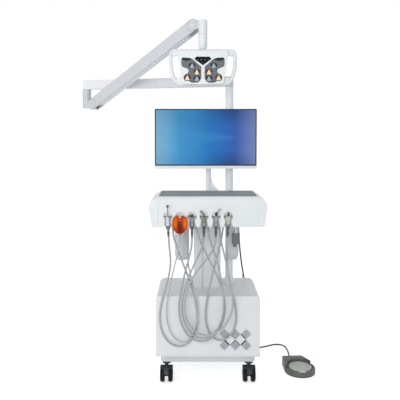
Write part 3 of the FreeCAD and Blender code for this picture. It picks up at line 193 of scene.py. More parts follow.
def hung(tail, outlet, depth, path, back=-0.148):
    """A hose's route: out of the instrument's tail, along the path, and up into the outlet under the tray."""
    points = [(x, depth, *z) if len(z) == 1 else (x, *z) for x, *z in path]
    return [(tail, -0.1797, 0.7645), (tail, -0.1632, 0.7359), *points, (outlet, back, 0.786),
            (outlet, back + 0.001, 0.828)]


# Routes from the cart's axis, in metres. A point of a hose without a depth lies at the depth of its loop.
CAMERA_HOSE = hung(-0.196, -0.176, -0.183, [
    (-0.19, -0.17, 0.668), (-0.183, 0.603), (-0.2, 0.518), (-0.225, 0.439), (-0.242, 0.355), (-0.235, 0.275),
    (-0.2, 0.211), (-0.138, 0.184), (-0.081, 0.218), (-0.052, 0.29), (-0.055, 0.39), (-0.079, 0.494),
    (-0.115, 0.583), (-0.15, -0.164, 0.672), (-0.172, -0.149, 0.73),
])
CURING_HOSE = hung(-0.138, -0.118, -0.195, [
    (-0.147, -0.18, 0.672), (-0.163, 0.606), (-0.185, 0.517), (-0.202, 0.428), (-0.207, 0.334), (-0.183, 0.25),
    (-0.126, 0.208), (-0.074, 0.246), (-0.049, 0.322), (-0.055, 0.418), (-0.076, 0.512),
    (-0.098, -0.191, 0.601), (-0.106, -0.17, 0.672), (-0.115, -0.151, 0.732),
])
SCALER_HOSE = hung(-0.079, -0.059, -0.207, [
    (-0.082, -0.182, 0.682), (-0.096, 0.632), (-0.116, 0.559), (-0.135, 0.471), (-0.147, 0.382),
    (-0.128, 0.293), (-0.079, 0.232), (-0.01, 0.222), (0.049, 0.269), (0.084, 0.352), (0.081, 0.446),
    (0.057, 0.525), (0.02, -0.204, 0.6), (-0.016, -0.174, 0.668), (-0.046, -0.152, 0.728),
])
CONTRA_HOSE = hung(-0.02, 0.0, -0.22, [
    (-0.028, -0.183, 0.686), (-0.056, -0.214, 0.638), (-0.09, 0.564), (-0.118, 0.484), (-0.134, 0.395),
    (-0.115, 0.312), (-0.069, 0.253), (-0.005, 0.242), (0.049, 0.288), (0.076, 0.366), (0.076, 0.459),
    (0.063, 0.547), (0.046, -0.208, 0.618), (0.025, -0.17, 0.678), (0.006, -0.151, 0.732),
])
TURBINE_HOSE = hung(0.039, 0.059, -0.233, [
    (0.033, -0.183, 0.687), (-0.002, -0.213, 0.642), (-0.046, -0.231, 0.596), (-0.09, 0.53), (-0.114, 0.45),
    (-0.118, 0.37), (-0.088, 0.301), (-0.03, 0.262), (0.034, 0.272), (0.087, 0.316), (0.121, 0.389),
    (0.119, 0.477), (0.102, -0.231, 0.56), (0.084, -0.212, 0.634), (0.07, -0.178, 0.694), (0.062, -0.152, 0.74),
])
SYRINGE_HOSE = hung(0.098, 0.078, -0.183, [
    (0.094, -0.17, 0.668), (0.095, 0.593), (0.11, 0.504), (0.132, 0.414), (0.144, 0.325), (0.117, 0.243),
    (0.055, 0.213), (0.003, 0.256), (-0.016, 0.335), (-0.004, 0.434), (0.015, 0.523), (0.035, -0.178, 0.606),
    (0.056, -0.158, 0.672), (0.07, -0.136, 0.73),
], -0.132)
UMBILICAL = [
    (0.166, 0.062, 0.834), (0.166, 0.063, 0.8), (0.17, 0.07, 0.745), (0.175, 0.084, 0.68),
    (0.181, 0.103, 0.612), (0.19, 0.121, 0.545), (0.2, 0.138, 0.49), (0.205, 0.147, 0.455),
]
PEDAL_CABLE = [
    (0.19, 0.2, 0.16), (0.19, 0.224, 0.157), (0.193, 0.246, 0.14), (0.198, 0.262, 0.11),
    (0.206, 0.272, 0.076), (0.219, 0.278, 0.044), (0.24, 0.281, 0.02), (0.268, 0.279, 0.008),
    (0.302, 0.272, 0.004), (0.34, 0.284, 0.004), (0.378, 0.308, 0.004), (0.41, 0.322, 0.004),
    (0.44, 0.318, 0.004), (0.459, 0.296, 0.004), (0.466, 0.262, 0.004), (0.467, 0.226, 0.004),
    (0.466, 0.19, 0.004), (0.463, 0.156, 0.005), (0.458, 0.126, 0.009), (0.452, 0.097, 0.018),
    (0.4546, 0.0692, 0.020),
]


def centre_line(curve):
    """The points along a cord's own NURBS line, as Blender draws it with no thickness."""
    bare = curve.copy()
    bare.bevel_depth = 0
    thing = shown("bare", bare)
    bpy.context.view_layer.update()
    line = bpy.data.meshes.new_from_object(thing)
    points = [v.co.copy() for v in line.vertices]
    bpy.data.objects.remove(thing)
    bpy.data.meshes.remove(line)
    bpy.data.curves.remove(bare)
    return points


def stations(points, step, count):
    """Evenly spaced (point, direction) pairs from the start of a line."""
    found, gone, want = [], 0.0, 0.0
    for start, end in zip(points, points[1:]):
        run = (end - start).length
        while len(found) < count and run and want <= gone + run:
            found.append((start.lerp(end, (want - gone) / run), (end - start).normalized()))
            want += step
        gone += run
    return found


def ringed(made, path, radii, sides=20):
    """A closed tube through a path, with its own radius at each station."""
    side = path[0][1].orthogonal().normalized()
    rings = []
    for (place, along), radius in zip(path, radii):
        side = (side - along * side.dot(along)).normalized()
        over = along.cross(side)
        turns = [2 * math.pi * k / sides for k in range(sides)]
        rings.append([made.verts.new(place + (side * math.cos(t) + over * math.sin(t)) * radius) for t in turns])
    for low, high in zip(rings, rings[1:]):
        for k in range(sides):
            made.faces.new((low[k], low[k - 1], high[k - 1], high[k]))
    made.faces.new(rings[0])
    made.faces.new(list(reversed(rings[-1])))


def reliefs(name, curve, diameter, slot):
    """The ribbed, tapered sleeves where a cord leaves and enters its housings."""
    points = centre_line(curve)
    made = bmesh.new()
    step, count = diameter / 6, 18
    for line in (points, points[::-1]):
        radii = []
        for k in range(count):
            taper = 1.45 - 0.33 * k / (count - 1)
            radii.append(diameter / 2 * (taper - (0.10 if k % 3 == 2 and k > 3 else 0)))
        ringed(made, stations(line, step, count), radii)
    return piece(name, made, "sleeve", "cart", slot=slot)


def cord(name, route, diameter, key, node, slot="hose"):
    """A NURBS line through the cart's frame, riding on the cart in place of the CAD tube."""
    route = [(x + CART_X, y + CART_Y, z) for x, y, z in route]
    thing, spline = nurbs(name, route, diameter, 8, 5, key)
    spline.use_endpoint_u = True
    thing.data.use_fill_caps = True
    declared(thing, "cart", [node])
    sleeves = reliefs(name + "_reliefs", thing.data, diameter, slot)


# ---------------- materials

def nodes_of(name):
    """A new material with its node tree and its shader."""
    made = bpy.data.materials.new(name)
    made.use_nodes = True
    tree = made.node_tree
    return made, tree, tree.nodes["Principled BSDF"]


def noise(tree, scale, detail=3.0, stretch=None):
    """Noise over the object's own coordinates, in cycles per metre."""
    place = tree.nodes.new("ShaderNodeTexCoord").outputs["Object"]
    if stretch:
        mapping = tree.nodes.new("ShaderNodeMapping")
        mapping.inputs["Scale"].default_value = stretch
        tree.links.new(place, mapping.inputs["Vector"])
        place = mapping.outputs["Vector"]
    made = tree.nodes.new("ShaderNodeTexNoise")
    made.inputs["Scale"].default_value = scale
    made.inputs["Detail"].default_value = detail
    tree.links.new(place, made.inputs["Vector"])
    return made.outputs["Fac"]


def mapped(tree, value, low, high, start=0.3, end=0.7):
    """A value's run from start to end, turned into low to high; noise mostly runs from 0.3 to 0.7."""
    made = tree.nodes.new("ShaderNodeMapRange")
    for socket, number in (("From Min", start), ("From Max", end), ("To Min", low), ("To Max", high)):
        made.inputs[socket].default_value = number
    tree.links.new(value, made.inputs["Value"])
    return made.outputs["Result"]


def mixed(tree, factor, first, second):
    """Two colours mixed: the first at factor 0, the second at factor 1."""
    made = tree.nodes.new("ShaderNodeMix")
    made.data_type = "RGBA"
    for socket, colour in (("A", first), ("B", second)):
        target = next(s for s in made.inputs if s.name == socket and s.type == "RGBA")
        if isinstance(colour, tuple):
            target.default_value = (*colour, 1)
        else:
            tree.links.new(colour, target)
    tree.links.new(factor, made.inputs["Factor"])
    return next(s for s in made.outputs if s.type == "RGBA")


def edge_mask(tree, radius):
    """1 on sharp edges and 0 on open faces."""
    bevel = tree.nodes.new("ShaderNodeBevel")
    bevel.samples = 4
    bevel.inputs["Radius"].default_value = radius
    face = tree.nodes.new("ShaderNodeNewGeometry")
    dot = tree.nodes.new("ShaderNodeVectorMath")
    dot.operation = "DOT_PRODUCT"
    tree.links.new(bevel.outputs["Normal"], dot.inputs[0])
    tree.links.new(face.outputs["Normal"], dot.inputs[1])
    return mapped(tree, dot.outputs["Value"], 1.0, 0.0, 0.80, 0.99)


def place_of(tree, source="Object"):
    """X, Y and Z of the object's own coordinates, or of its UV map."""
    parts = tree.nodes.new("ShaderNodeSeparateXYZ")
    tree.links.new(tree.nodes.new("ShaderNodeTexCoord").outputs[source], parts.inputs[0])
    return parts.outputs


def maths(tree, operation, *values):
    """One Math node; each value is a number or another node's output."""
    made = tree.nodes.new("ShaderNodeMath")
    made.operation = operation
    for socket, value in zip(made.inputs, values):
        if isinstance(value, (int, float)):
            socket.default_value = value
        else:
            tree.links.new(value, socket)
    return made.outputs[0]


def times(tree, first, second):
    return maths(tree, "MULTIPLY", first, second)


def less(tree, first, second):
    return maths(tree, "SUBTRACT", first, second)


def toned(tree, colour, factor):
    """A colour made lighter or darker by a factor."""
    made = tree.nodes.new("ShaderNodeVectorMath")
    made.operation = "SCALE"
    if isinstance(colour, tuple):
        made.inputs[0].default_value = colour
    else:
        tree.links.new(colour, made.inputs[0])
    tree.links.new(factor, made.inputs["Scale"])
    return made.outputs["Vector"]


def ramp(tree, value, low, high, stops, steps=False):
    """Colours at values between low and high: blended, or in steps that hold until the next."""
    made = tree.nodes.new("ShaderNodeValToRGB")
    made.color_ramp.interpolation = "CONSTANT" if steps else "LINEAR"
    spots = [(max(0.0, min(1.0, (at - low) / (high - low))), colour) for at, colour in stops]
    first, last = made.color_ramp.elements
    first.position, first.color = spots[0][0], (*spots[0][1], 1)
    last.position, last.color = spots[-1][0], (*spots[-1][1], 1)
    for at, colour in spots[1:-1]:
        made.color_ramp.elements.new(at).color = (*colour, 1)
    tree.links.new(mapped(tree, value, 0.0, 1.0, low, high), made.inputs["Fac"])
    return made.outputs["Color"]


def tinted(tree, colour):
    """A colour given as it looks, or as a function that paints it."""
    return colour(tree) if callable(colour) else srgb(*colour)


def emboss(tree, shader, height, strength, depth, normal=None):
    """Fine relief on a shader, its depth in metres."""
    relief = tree.nodes.new("ShaderNodeBump")
    relief.inputs["Strength"].default_value = strength
    relief.inputs["Distance"].default_value = depth
    tree.links.new(height, relief.inputs["Height"])
    if normal:
        tree.links.new(normal, relief.inputs["Normal"])
    tree.links.new(relief.outputs["Normal"], shader.inputs["Normal"])


def finish(name, colour, rough=0.45, metal=0.0, grain=900.0, depth=0.02, tint=0.03, wear=None,
           edge=0.0012, coat=0.0, gloss=0.5, mottle=9.0):
    """A moulded, coated or brushed finish: mottled colour, uneven gloss, fine relief and worn edges."""
    made, tree, shader = nodes_of(name)
    skin = toned(tree, tinted(tree, colour), mapped(tree, noise(tree, mottle, 4.0), 1 - tint, 1 + tint))
    if wear:
        rub = times(tree, edge_mask(tree, edge), mapped(tree, noise(tree, 60.0), 0.15, 0.75, 0.4, 0.6))
        skin = mixed(tree, rub, skin, srgb(*wear))
    tree.links.new(skin, shader.inputs["Base Color"])
    smear = mapped(tree, noise(tree, 26.0, 5.0), rough * 0.82, min(1.0, rough * 1.22))
    tree.links.new(smear, shader.inputs["Roughness"])
    shader.inputs["Metallic"].default_value = metal
    shader.inputs["Coat Weight"].default_value = coat
    shader.inputs["Specular IOR Level"].default_value = gloss
    soft = tree.nodes.new("ShaderNodeBevel")
    soft.samples = 4
    soft.inputs["Radius"].default_value = edge
    emboss(tree, shader, noise(tree, grain, 2.0), 0.6, depth / MM, soft.outputs["Normal"])
    return made


def clear(name, colour, rough, see, depth=0.2, coat=0.0):
    """A translucent moulding with a little haze and unevenness."""
    made, tree, shader = nodes_of(name)
    haze = toned(tree, tinted(tree, colour), mapped(tree, noise(tree, 14.0, 4.0), 0.93, 1.0))
    tree.links.new(haze, shader.inputs["Base Color"])
    tree.links.new(mapped(tree, noise(tree, 40.0), rough * 0.7, rough * 1.4), shader.inputs["Roughness"])
    shader.inputs["Transmission Weight"].default_value = see
    shader.inputs["IOR"].default_value = 1.2
    shader.inputs["Coat Weight"].default_value = coat
    shader.inputs["Coat Roughness"].default_value = 0.06
    emboss(tree, shader, noise(tree, 300.0), 0.3, depth / MM)
    return made


def lit_screen():
    """A wallpaper of soft blue light: a wide gradient, darker corners and one faint beam."""
    made, tree, shader = nodes_of("screen_lit")
    place = place_of(tree)
    low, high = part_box("monitor_screen")
    u = mapped(tree, place["X"], 0.0, 1.0, low.x, high.x)
    v = mapped(tree, place["Z"], 0.0, 1.0, low.z, high.z)
    sky = ramp(tree, u, 0.0, 1.0, (
        (0.0, srgb(122, 170, 203)), (0.10, srgb(100, 165, 205)), (0.24, srgb(52, 142, 196)),
        (0.40, srgb(36, 130, 193)), (0.56, srgb(20, 112, 188)), (0.70, srgb(30, 98, 180)),
        (0.80, srgb(48, 92, 172)), (0.92, srgb(96, 116, 178)), (1.0, srgb(112, 128, 180))))
    rise = ramp(tree, v, 0.0, 1.0, ((0.0, (0.92,) * 3), (0.3, (1.04,) * 3), (0.62, (1.0,) * 3), (1.0, (0.86,) * 3)))
    shade = times(tree, rise, mapped(tree, noise(tree, 5.0, 1.0), 0.94, 1.05))
    corner = times(tree, mapped(tree, u, 0.0, 1.0, 0.45, 0.72), mapped(tree, u, 1.0, 0.0, 0.78, 0.98))
    away = maths(tree, "ABSOLUTE", less(tree, v, 0.5))
    corner = times(tree, corner, mapped(tree, away, 0.0, 0.42, 0.22, 0.5))
    picture = toned(tree, sky, times(tree, shade, less(tree, 1.0, corner)))
    spread = times(tree, less(tree, 0.86, u), 0.30)
    beam = mapped(tree, less(tree, spread, away), 0.0, 0.20, -0.03, 0.05)
    beam = times(tree, beam, mapped(tree, u, 0.0, 1.0, 0.12, 0.70))
    beam = times(tree, beam, mapped(tree, u, 1.0, 0.0, 0.76, 0.86))
    tree.links.new(mixed(tree, beam, picture, srgb(80, 170, 225)), shader.inputs["Emission Color"])
    shader.inputs["Emission Strength"].default_value = 0.96
    shader.inputs["Base Color"].default_value = (0.005, 0.006, 0.008, 1)
    shader.inputs["Specular IOR Level"].default_value = 0.10
    tree.links.new(mapped(tree, noise(tree, 30.0), 0.20, 0.28), shader.inputs["Roughness"])
    return made


def optic(name, glow, shadow):
    """A lens over a faceted reflector, in a dark collar: a painted highlight as a bright triangle between painted
    shade on two dark sides, with a faint painted glow.
    """
    made, tree, shader = nodes_of(name)
    parts = place_of(tree, "UV")
    u = times(tree, less(tree, parts["X"], 0.5), 2.0)
    v = times(tree, less(tree, parts["Y"], 0.5), 2.0)
    # Painted light: the lit triangle of the reflector; outside it the face takes the painted shade colour.
    reach = less(tree, 0.34, times(tree, v, 0.42))
    lit = mapped(tree, less(tree, reach, maths(tree, "ABSOLUTE", u)), 0.0, 1.0, -0.16, 0.10)
    away = maths(tree, "SQRT", maths(tree, "ADD", times(tree, u, u), times(tree, v, v)))
    cells = tree.nodes.new("ShaderNodeTexVoronoi")
    cells.inputs["Scale"].default_value = 420.0
    tree.links.new(tree.nodes.new("ShaderNodeTexCoord").outputs["Object"], cells.inputs["Vector"])
    facets = mapped(tree, cells.outputs["Distance"], 1.05, 0.80, 0.1, 0.6)
    face = toned(tree, mixed(tree, lit, srgb(*shadow), srgb(*glow)), facets)
    collar = mapped(tree, away, 0.0, 1.0, 0.91, 0.95)
    face = mixed(tree, collar, face, srgb(58, 60, 64))
    tree.links.new(face, shader.inputs["Base Color"])
    # Painted glow: the face gives off a little light of its own colour.
    tree.links.new(face, shader.inputs["Emission Color"])
    shader.inputs["Emission Strength"].default_value = 0.22
    shader.inputs["Roughness"].default_value = 0.20
    shader.inputs["Specular IOR Level"].default_value = 0.15
    emboss(tree, shader, cells.outputs["Distance"], 1.0, 0.0004)
    return made


def leaning(*bands):
    """Bands of colour up an instrument: each (millimetres from its tail, colour) holds until the next."""
    def paint(tree):
        dot = tree.nodes.new("ShaderNodeVectorMath")
        dot.operation = "DOT_PRODUCT"
        dot.inputs[1].default_value = LEAN * MM
        tree.links.new(tree.nodes.new("ShaderNodeTexCoord").outputs["Object"], dot.inputs[0])
        return ramp(tree, less(tree, dot.outputs["Value"], TAIL_ALONG), 0, 150,
                    [(at, srgb(*colour)) for at, colour in bands], True)
    return paint


def arm_painted_reflection(tree):
    """The wide arm's enamel with a painted reflection: bright at its outer third, greyer towards the pole."""
    # Painted reflection: near white at the arm's outer end, fading to grey towards the pole.
    return ramp(tree, place_of(tree)["X"], -0.45, -0.20,
                ((-0.45, srgb(240, 241, 243)), (-0.385, srgb(238, 240, 242)), (-0.30, srgb(224, 226, 231)),
                 (-0.20, srgb(220, 222, 228))))


def wing_shade(tree):
    """Mottled grey, with a black cap at each upper tip and a darker foot."""
    parts = place_of(tree)
    at = head_centre()
    x = maths(tree, "ABSOLUTE", less(tree, parts["X"], at.x))
    z = less(tree, parts["Z"], at.z)
    flecks = noise(tree, 420.0, 3.0)
    grey = toned(tree, srgb(108, 113, 118), mapped(tree, flecks, 0.78, 1.22, 0.35, 0.65))
    off = less(tree, x, 0.080)
    bow = less(tree, z, times(tree, times(tree, off, off), 13.0))
    cap = mapped(tree, bow, 0.0, 1.0, -0.0360, -0.0310)
    foot = mapped(tree, z, 0.55, 0.0, -0.140, -0.124)
    return mixed(tree, foot, mixed(tree, cap, grey, srgb(20, 20, 22)), srgb(40, 42, 45))


def cups(tree):
    """Grey cups in front of the rail's white back plate."""
    front = mapped(tree, place_of(tree)["Y"], 1.0, 0.0, -0.2330, -0.2315)
    return mixed(tree, front, srgb(242, 245, 246), srgb(158, 160, 159))


def lid_and_filter(tree):
    """A pale lid with the dark filter block below it."""
    block = mapped(tree, place_of(tree)["Z"], 1.0, 0.0, 0.7285, 0.7295)
    return mixed(tree, block, srgb(222, 226, 228), srgb(108, 113, 116))


def shield_tint_painted_light(tree):
    """Orange, with painted highlights as bright lobes each side and painted shade deepening in streaks towards the
    lower middle, where the handpiece lies behind it.
    """
    parts = place_of(tree, "UV")
    u = maths(tree, "ABSOLUTE", times(tree, less(tree, parts["X"], 0.5), 2.0))
    v = less(tree, parts["Y"], 0.5)
    swirl = mapped(tree, noise(tree, 70.0, 3.0, (1, 1, 0.30)), -0.28, 0.28)
    far = maths(tree, "ADD", times(tree, u, 1.30), swirl)
    core = times(tree, mapped(tree, far, 1.0, 0.0, 0.05, 0.80), mapped(tree, v, 1.0, 0.15, 0.0, 0.36))
    side = less(tree, u, 0.55)
    high = less(tree, v, 0.08)
    lobe = maths(tree, "ADD", times(tree, times(tree, side, side), 9.0),
                 times(tree, times(tree, high, high), 9.0))
    # Painted highlights: the bright lobes each side.
    bright = mixed(tree, mapped(tree, lobe, 1.0, 0.0, 0.05, 0.75), srgb(232, 84, 4), srgb(255, 132, 22))
    # Painted shade: darker towards the bottom and in the streaked lower middle.
    low = mapped(tree, v, 0.75, 0.0, -0.42, -0.12)
    return mixed(tree, core, mixed(tree, low, bright, srgb(178, 56, 2)), srgb(112, 34, 0))


WORN = (200, 203, 205)


def materials():
    """Every material by its key in DRESS and in the pieces."""
    return {
        "coat": finish("powder_coat_white", (231, 234, 235), 0.42, depth=0.03, wear=WORN),
        "shell": finish("moulded_white", (231, 235, 236), 0.34, grain=1500.0, depth=0.015, wear=WORN, tint=0.015),
        "column": finish("powder_coat_pale", (230, 232, 234), 0.40, depth=0.03, wear=(176, 178, 180)),
        "pole": finish("powder_coat_bright", (240, 244, 248), 0.40, depth=0.03, wear=(190, 193, 196)),
        "arm": finish("enamel_arm", (202, 205, 210), 0.30, depth=0.012, wear=(196, 198, 202), coat=0.3, tint=0.012),
        "arm_low": finish("enamel_low_arm_painted_reflection", arm_painted_reflection, 0.26, depth=0.012, wear=(196, 198, 202), coat=0.3, tint=0.012),
        "arm_strip": finish("enamel_strip", (240, 241, 243), 0.35, depth=0.012, coat=0.2, tint=0.02),
        "seam": finish("seam_grey", (150, 153, 158), 0.5, depth=0.01),
        "chassis": finish("powder_coat_base", (214, 218, 220), 0.5, depth=0.05, wear=(170, 172, 174)),
        "mat": finish("mat_rubber", (127, 135, 138), 0.62, grain=2200.0, depth=0.10, tint=0.05),
        "lilac": finish("grille_lilac", (206, 207, 214), 0.5, grain=1400.0, depth=0.05),
        "charcoal": finish("moulded_charcoal", (38, 40, 44), 0.5, grain=1600.0, depth=0.06, gloss=0.25,
                           wear=(96, 98, 100)),
        "slate": finish("moulded_slate", (27, 35, 42), 0.45, grain=1600.0, depth=0.06, wear=(96, 104, 110)),
        "tyre": finish("tyre_rubber", (20, 21, 24), 0.6, grain=700.0, depth=0.2, tint=0.2, gloss=0.15,
                       wear=(70, 71, 73)),
        "oral_camera": finish("camera_body", leaning(
            (0, (120, 123, 126)), (46, (222, 225, 227)), (96, (132, 138, 146)), (139, (48, 92, 146)),
            (151, (30, 34, 42))), 0.3, depth=0.01, coat=0.3),
        "curing_light": finish("curing_body", leaning(
            (0, (110, 112, 114)), (46, (196, 200, 203)), (57, (226, 233, 235))),
            0.25, depth=0.01, coat=0.4),
        "scaler": finish("scaler_body", leaning(
            (0, (92, 94, 96)), (46, (152, 154, 154)), (60, (96, 99, 101)), (66, (154, 156, 158)),
            (92.4, (30, 31, 34))), 0.3, metal=0.2, depth=0.01, coat=0.3),
        "contra_angle": finish("contra_steel", leaning(
            (0, (90, 90, 88)), (46, (148, 145, 139)), (64, (98, 95, 89)), (68, (138, 134, 126)),
            (86, (104, 100, 94)), (112, (138, 134, 127))), 0.28, metal=0.6, grain=500.0),
        "turbine": finish("turbine_steel", leaning(
            (0, (88, 90, 92)), (46, (152, 157, 162)), (62, (110, 117, 126)), (66, (156, 163, 170)),
            (102, (10, 10, 12)), (119.6, (84, 86, 90)), (131, (164, 165, 166))),
            0.22, metal=0.4, grain=500.0, coat=0.4),
        "syringe": finish("syringe_body", leaning(
            (0, (96, 98, 100)), (46, (148, 150, 150)), (56, (208, 199, 188)), (97, (160, 167, 174)),
            (102.6, (24, 25, 27))), 0.3, metal=0.1, grain=700.0, coat=0.3),
        "rail": finish("rail_and_cups", cups, 0.36, grain=1200.0),
        "disc": finish("pedal_metal", (182, 185, 181), 0.42, metal=0.35, grain=1200.0, depth=0.04, tint=0.06,
                       wear=(200, 202, 198), mottle=40.0),
        "pedal": finish("pedal_plastic", (92, 96, 89), 0.5, grain=1300.0, depth=0.08, wear=(124, 126, 120)),
        "clip": finish("clip_steel", (190, 192, 188), 0.35, metal=0.3),
        "hose": finish("hose_silicone", (170, 174, 176), 0.30, depth=0.03, tint=0.06, edge=0.0005, coat=0.3),
        "thin": finish("hose_pale", (182, 186, 188), 0.30, depth=0.03, tint=0.05, edge=0.0005, coat=0.3),
        "sleeve": finish("sleeve_rubber", (92, 95, 97), 0.5, grain=1400.0, depth=0.05, edge=0.0004),
        "cable": finish("cable_dark", (24, 26, 28), 0.42, depth=0.03, tint=0.1, edge=0.0005),
        "ink": finish("gloss_black", (8, 8, 10), 0.16, grain=400.0, depth=0.008, gloss=0.05),
        "mark": finish("panel_mark", (84, 124, 226), 0.3, depth=0.005),
        "faint": finish("panel_faint", (112, 118, 132), 0.3, depth=0.005),
        "wing": finish("wing_grey", wing_shade, 0.42, grain=1700.0, depth=0.05, gloss=0.2),
        "lid": finish("lid_white", lid_and_filter, 0.38, grain=1500.0, wear=WORN),
        "water": clear("bottle_clear", (240, 243, 245), 0.42, 0.25),
        "orange": clear("shield_orange", shield_tint_painted_light, 0.14, 0.22, depth=0.05, coat=0.08),
        "orange_rim": clear("shield_rim", (226, 84, 6), 0.2, 0.1),
        "screen": lit_screen(),
        # Lens colours: the painted highlight of the lit facet, then the painted shade of its sides.
        "warm": optic("lens_warm", (250, 222, 198), (84, 52, 36)),
        "cool": optic("lens_cool", (170, 180, 194), (44, 48, 58)),
    }


CORNERS = ("front_left", "front_right", "rear_left", "rear_right")
# The nodes that stay in view, by the key of their material.
DRESS = {
    "coat": ["cabinet_shell", "back_panel"],
    "shell": ["tray_body", "tray_underside", "bottle_cap", "lamp_front", "monitor_back", "knuckle", "lamp_stem"],
    "column": ["column"],
    "pole": ["monitor_post", "monitor_yoke", "lamp_pole"],
    "arm": ["elbow_post", "spring_arm"],
    "arm_low": ["lamp_arm"],
    "arm_strip": ["spring_arm_strip"],
    "chassis": ["base_chassis"],
    "mat": ["tray_mat"],
    "charcoal": ["mains_inlet", "monitor_bezel", "compressor"],
    "slate": [*("caster_fork_" + corner for corner in CORNERS), *("caster_brake_" + c for c in CORNERS[:2])],
    "tyre": ["caster_wheels_" + corner for corner in CORNERS],
    "rail": ["holder_rail"],
    "ink": ["touch_panel"],
    "wing": ["lamp_wings"],
    "lid": ["suction_lid"],
    "water": ["water_bottle", "suction_jar"],
    "screen": ["monitor_screen"],
}


def dress():
    """Gives each CAD node that stays in view its material."""
    for key, names in DRESS.items():
        for name in names:
            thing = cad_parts[name]
            thing.data.materials.clear()
            thing.data.materials.append(palette[key])


# ---------------- lamp head

def head_centre():
    """The axis on which the lamp head tilts, at the middle of its width."""
    low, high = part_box("lamp_front")
    return Vector(((low.x + high.x) / 2, low.y + 0.031, high.z - 0.016))


def lamp_head(at):
    """A round grip tube in place of the plain rear moulding, with the housing and webs it carries."""
    half = [(0, 19), (120, 19), (151, 19), (161, -6), (160.5, -60), (146, -118), (120, -145), (82, -145), (0, -145)]
    loop = half + [(-x, z) for x, z in reversed(half[1:-1])]
    ring = [(at.x + x / MM, at.y - 3 / MM, at.z + z / MM) for x, z in loop]
    grips, spline = nurbs("lamp_grips", ring, 18 / MM, 10, 8, "shell")
    spline.use_cyclic_u = True
    declared(grips, "lamp_head", ["lamp_shell"])
    side = [(88, -148, 4), (102, -134, 15), (122, 2, 10), (109, 16, 13.5)]
    made = bmesh.new()
    notch = [(16, 16), (16, -26, 5), (-16, -26, 5), (-16, 16)]
    plates(made, [rounded(side + notch + mirrored(side))], 31, -22.6, at, 5)
    piece("lamp_housing", made, "shell", "lamp_head", slot="white_shell")
    low = [(84, -140), (84, -147), (116, -147, 6), (134, -126, 8), (127, -113, 4), (112, -112, 6), (100, -118)]
    high = [(96, 18), (96, -4), (116, -5), (133, -3, 5), (144, -9, 4), (152, -6, 4), (147, 14, 10), (136, 19)]
    made = bmesh.new()
    plates(made, [rounded(w) for w in (low, mirrored(low), high, mirrored(high))], 4, -10, at, 2.5)
    piece("lamp_webs", made, "shell", "lamp_head", slot="white_shell")


def lenses(at):
    """Domed optics, each with a collar and a faceted reflector, painted with a lit triangle between shaded sides."""
    profile = [(14.6, 0), (14.6, 2.4), (14.2, 3.0), (13.0, 3.2), (12.4, 2.6), (11.6, 3.2), (9.0, 4.8), (5.5, 5.9),
               (0, 6.3)]
    for name, key, places in (
        ("warm_optics", "warm", ((30, -87), (77, -115))), ("cool_optics", "cool", ((53, -56), (30, -119))),
    ):
        made = bmesh.new()
        uv = made.loops.layers.uv.new("local")
        for x, z in places:
            for way in (-1, 1):
                centre = at + Vector((way * x / MM, -0.029, z / MM))
                count = len(made.verts)
                lathe(made, centre, Vector((0, -1, 0)), Vector((1, 0, 0)), profile, 40, uv)
                for vert in list(made.verts)[count:]:
                    vert.co.x = centre.x + 1.18 * (vert.co.x - centre.x)
        piece(name, made, key, "lamp_head", key + "_lenses", slot="lens_" + key, sharp=60)


def panel_marks(at):
    """Lit dots and short bars on the touch panel."""
    for name, key, marks in (
        ("panel_marks", "mark", ((-8, -28, 2.8, 2.3), (10, -28, 2.8, 2.3))),
        ("panel_faint", "faint", ((-25, -28, 1.8, 1.6), (26, -28, 1.8, 1.6), (0, -43, 2.6, 1.2))),
    ):
        made = bmesh.new()
        outlines = [rounded([(x - w, z - h, h), (x + w, z - h, h), (x + w, z + h, h), (x - w, z + h, h)], 4)
                    for x, z, w, h in marks]
        plates(made, outlines, -31.2, -31.55, at)
        piece(name, made, key, "lamp_head", slot="screen")


# ---------------- arms, stand and cabinet

# The two pins of the spring arm and the way they point, as in the CAD's joints.
LIFT_PIN = Vector((-0.567807, 0.247416, 1.418))
LEVEL_PIN = Vector((0.009105, -0.144653, 1.788883))
PIN_WAY = Vector((-0.562083, -0.827081, 0))


def arm_trim():
    """Cap seams round the pins of the spring arm, and the screw under its lower end."""
    along = (LEVEL_PIN - LIFT_PIN).normalized()
    up = PIN_WAY.cross(along)
    up = up if up.z > 0 else -up
    # How far beside the arm's middle the seams lie, and their radius.
    beside, around = 0.0240, 0.0300
    made = bmesh.new()
    for centre, way in ((LIFT_PIN, 1), (LEVEL_PIN, -1)):
        turns = [math.radians(-100 + 200 * k / 40) for k in range(41)]
        arc = [centre + PIN_WAY * beside + (along * (way * math.cos(t)) + up * math.sin(t)) * around
               for t in turns]
        path = [(a, (b - a).normalized()) for a, b in zip(arc, arc[1:])]
        ringed(made, path, [0.0006] * len(path), 8)
    piece("arm_seams", made, "seam", "spring_arm", slot="grey_plastic")
    made = bmesh.new()
    foot = LIFT_PIN + along * 0.012 - up * 0.0295
    lathe(made, foot, -up, along, [(6.5, -3), (6.5, 1.8), (5.8, 2.4), (3.2, 2.4), (3.0, 0.4), (0, 0.4)], 24)
    piece("arm_screw", made, "charcoal", "spring_arm", slot="grey_plastic")


def post_gusset():
    """The flared web that braces the screen's post behind the tray."""
    centre = Vector((0.0836, 0.0628, 0.0))
    outline = [
        (-12, 880), (50, 880, 8), (57, 900, 10), (57, 940, 6), (46, 952, 24), (24, 975, 60), (15, 1012, 20),
        (12, 1046), (-12, 1046),
    ]
    made = bmesh.new()
    plates(made, [rounded(outline)], 8, -8, centre, 2.5)
    piece("post_gusset", made, "pole", "cart", slot="white_metal")


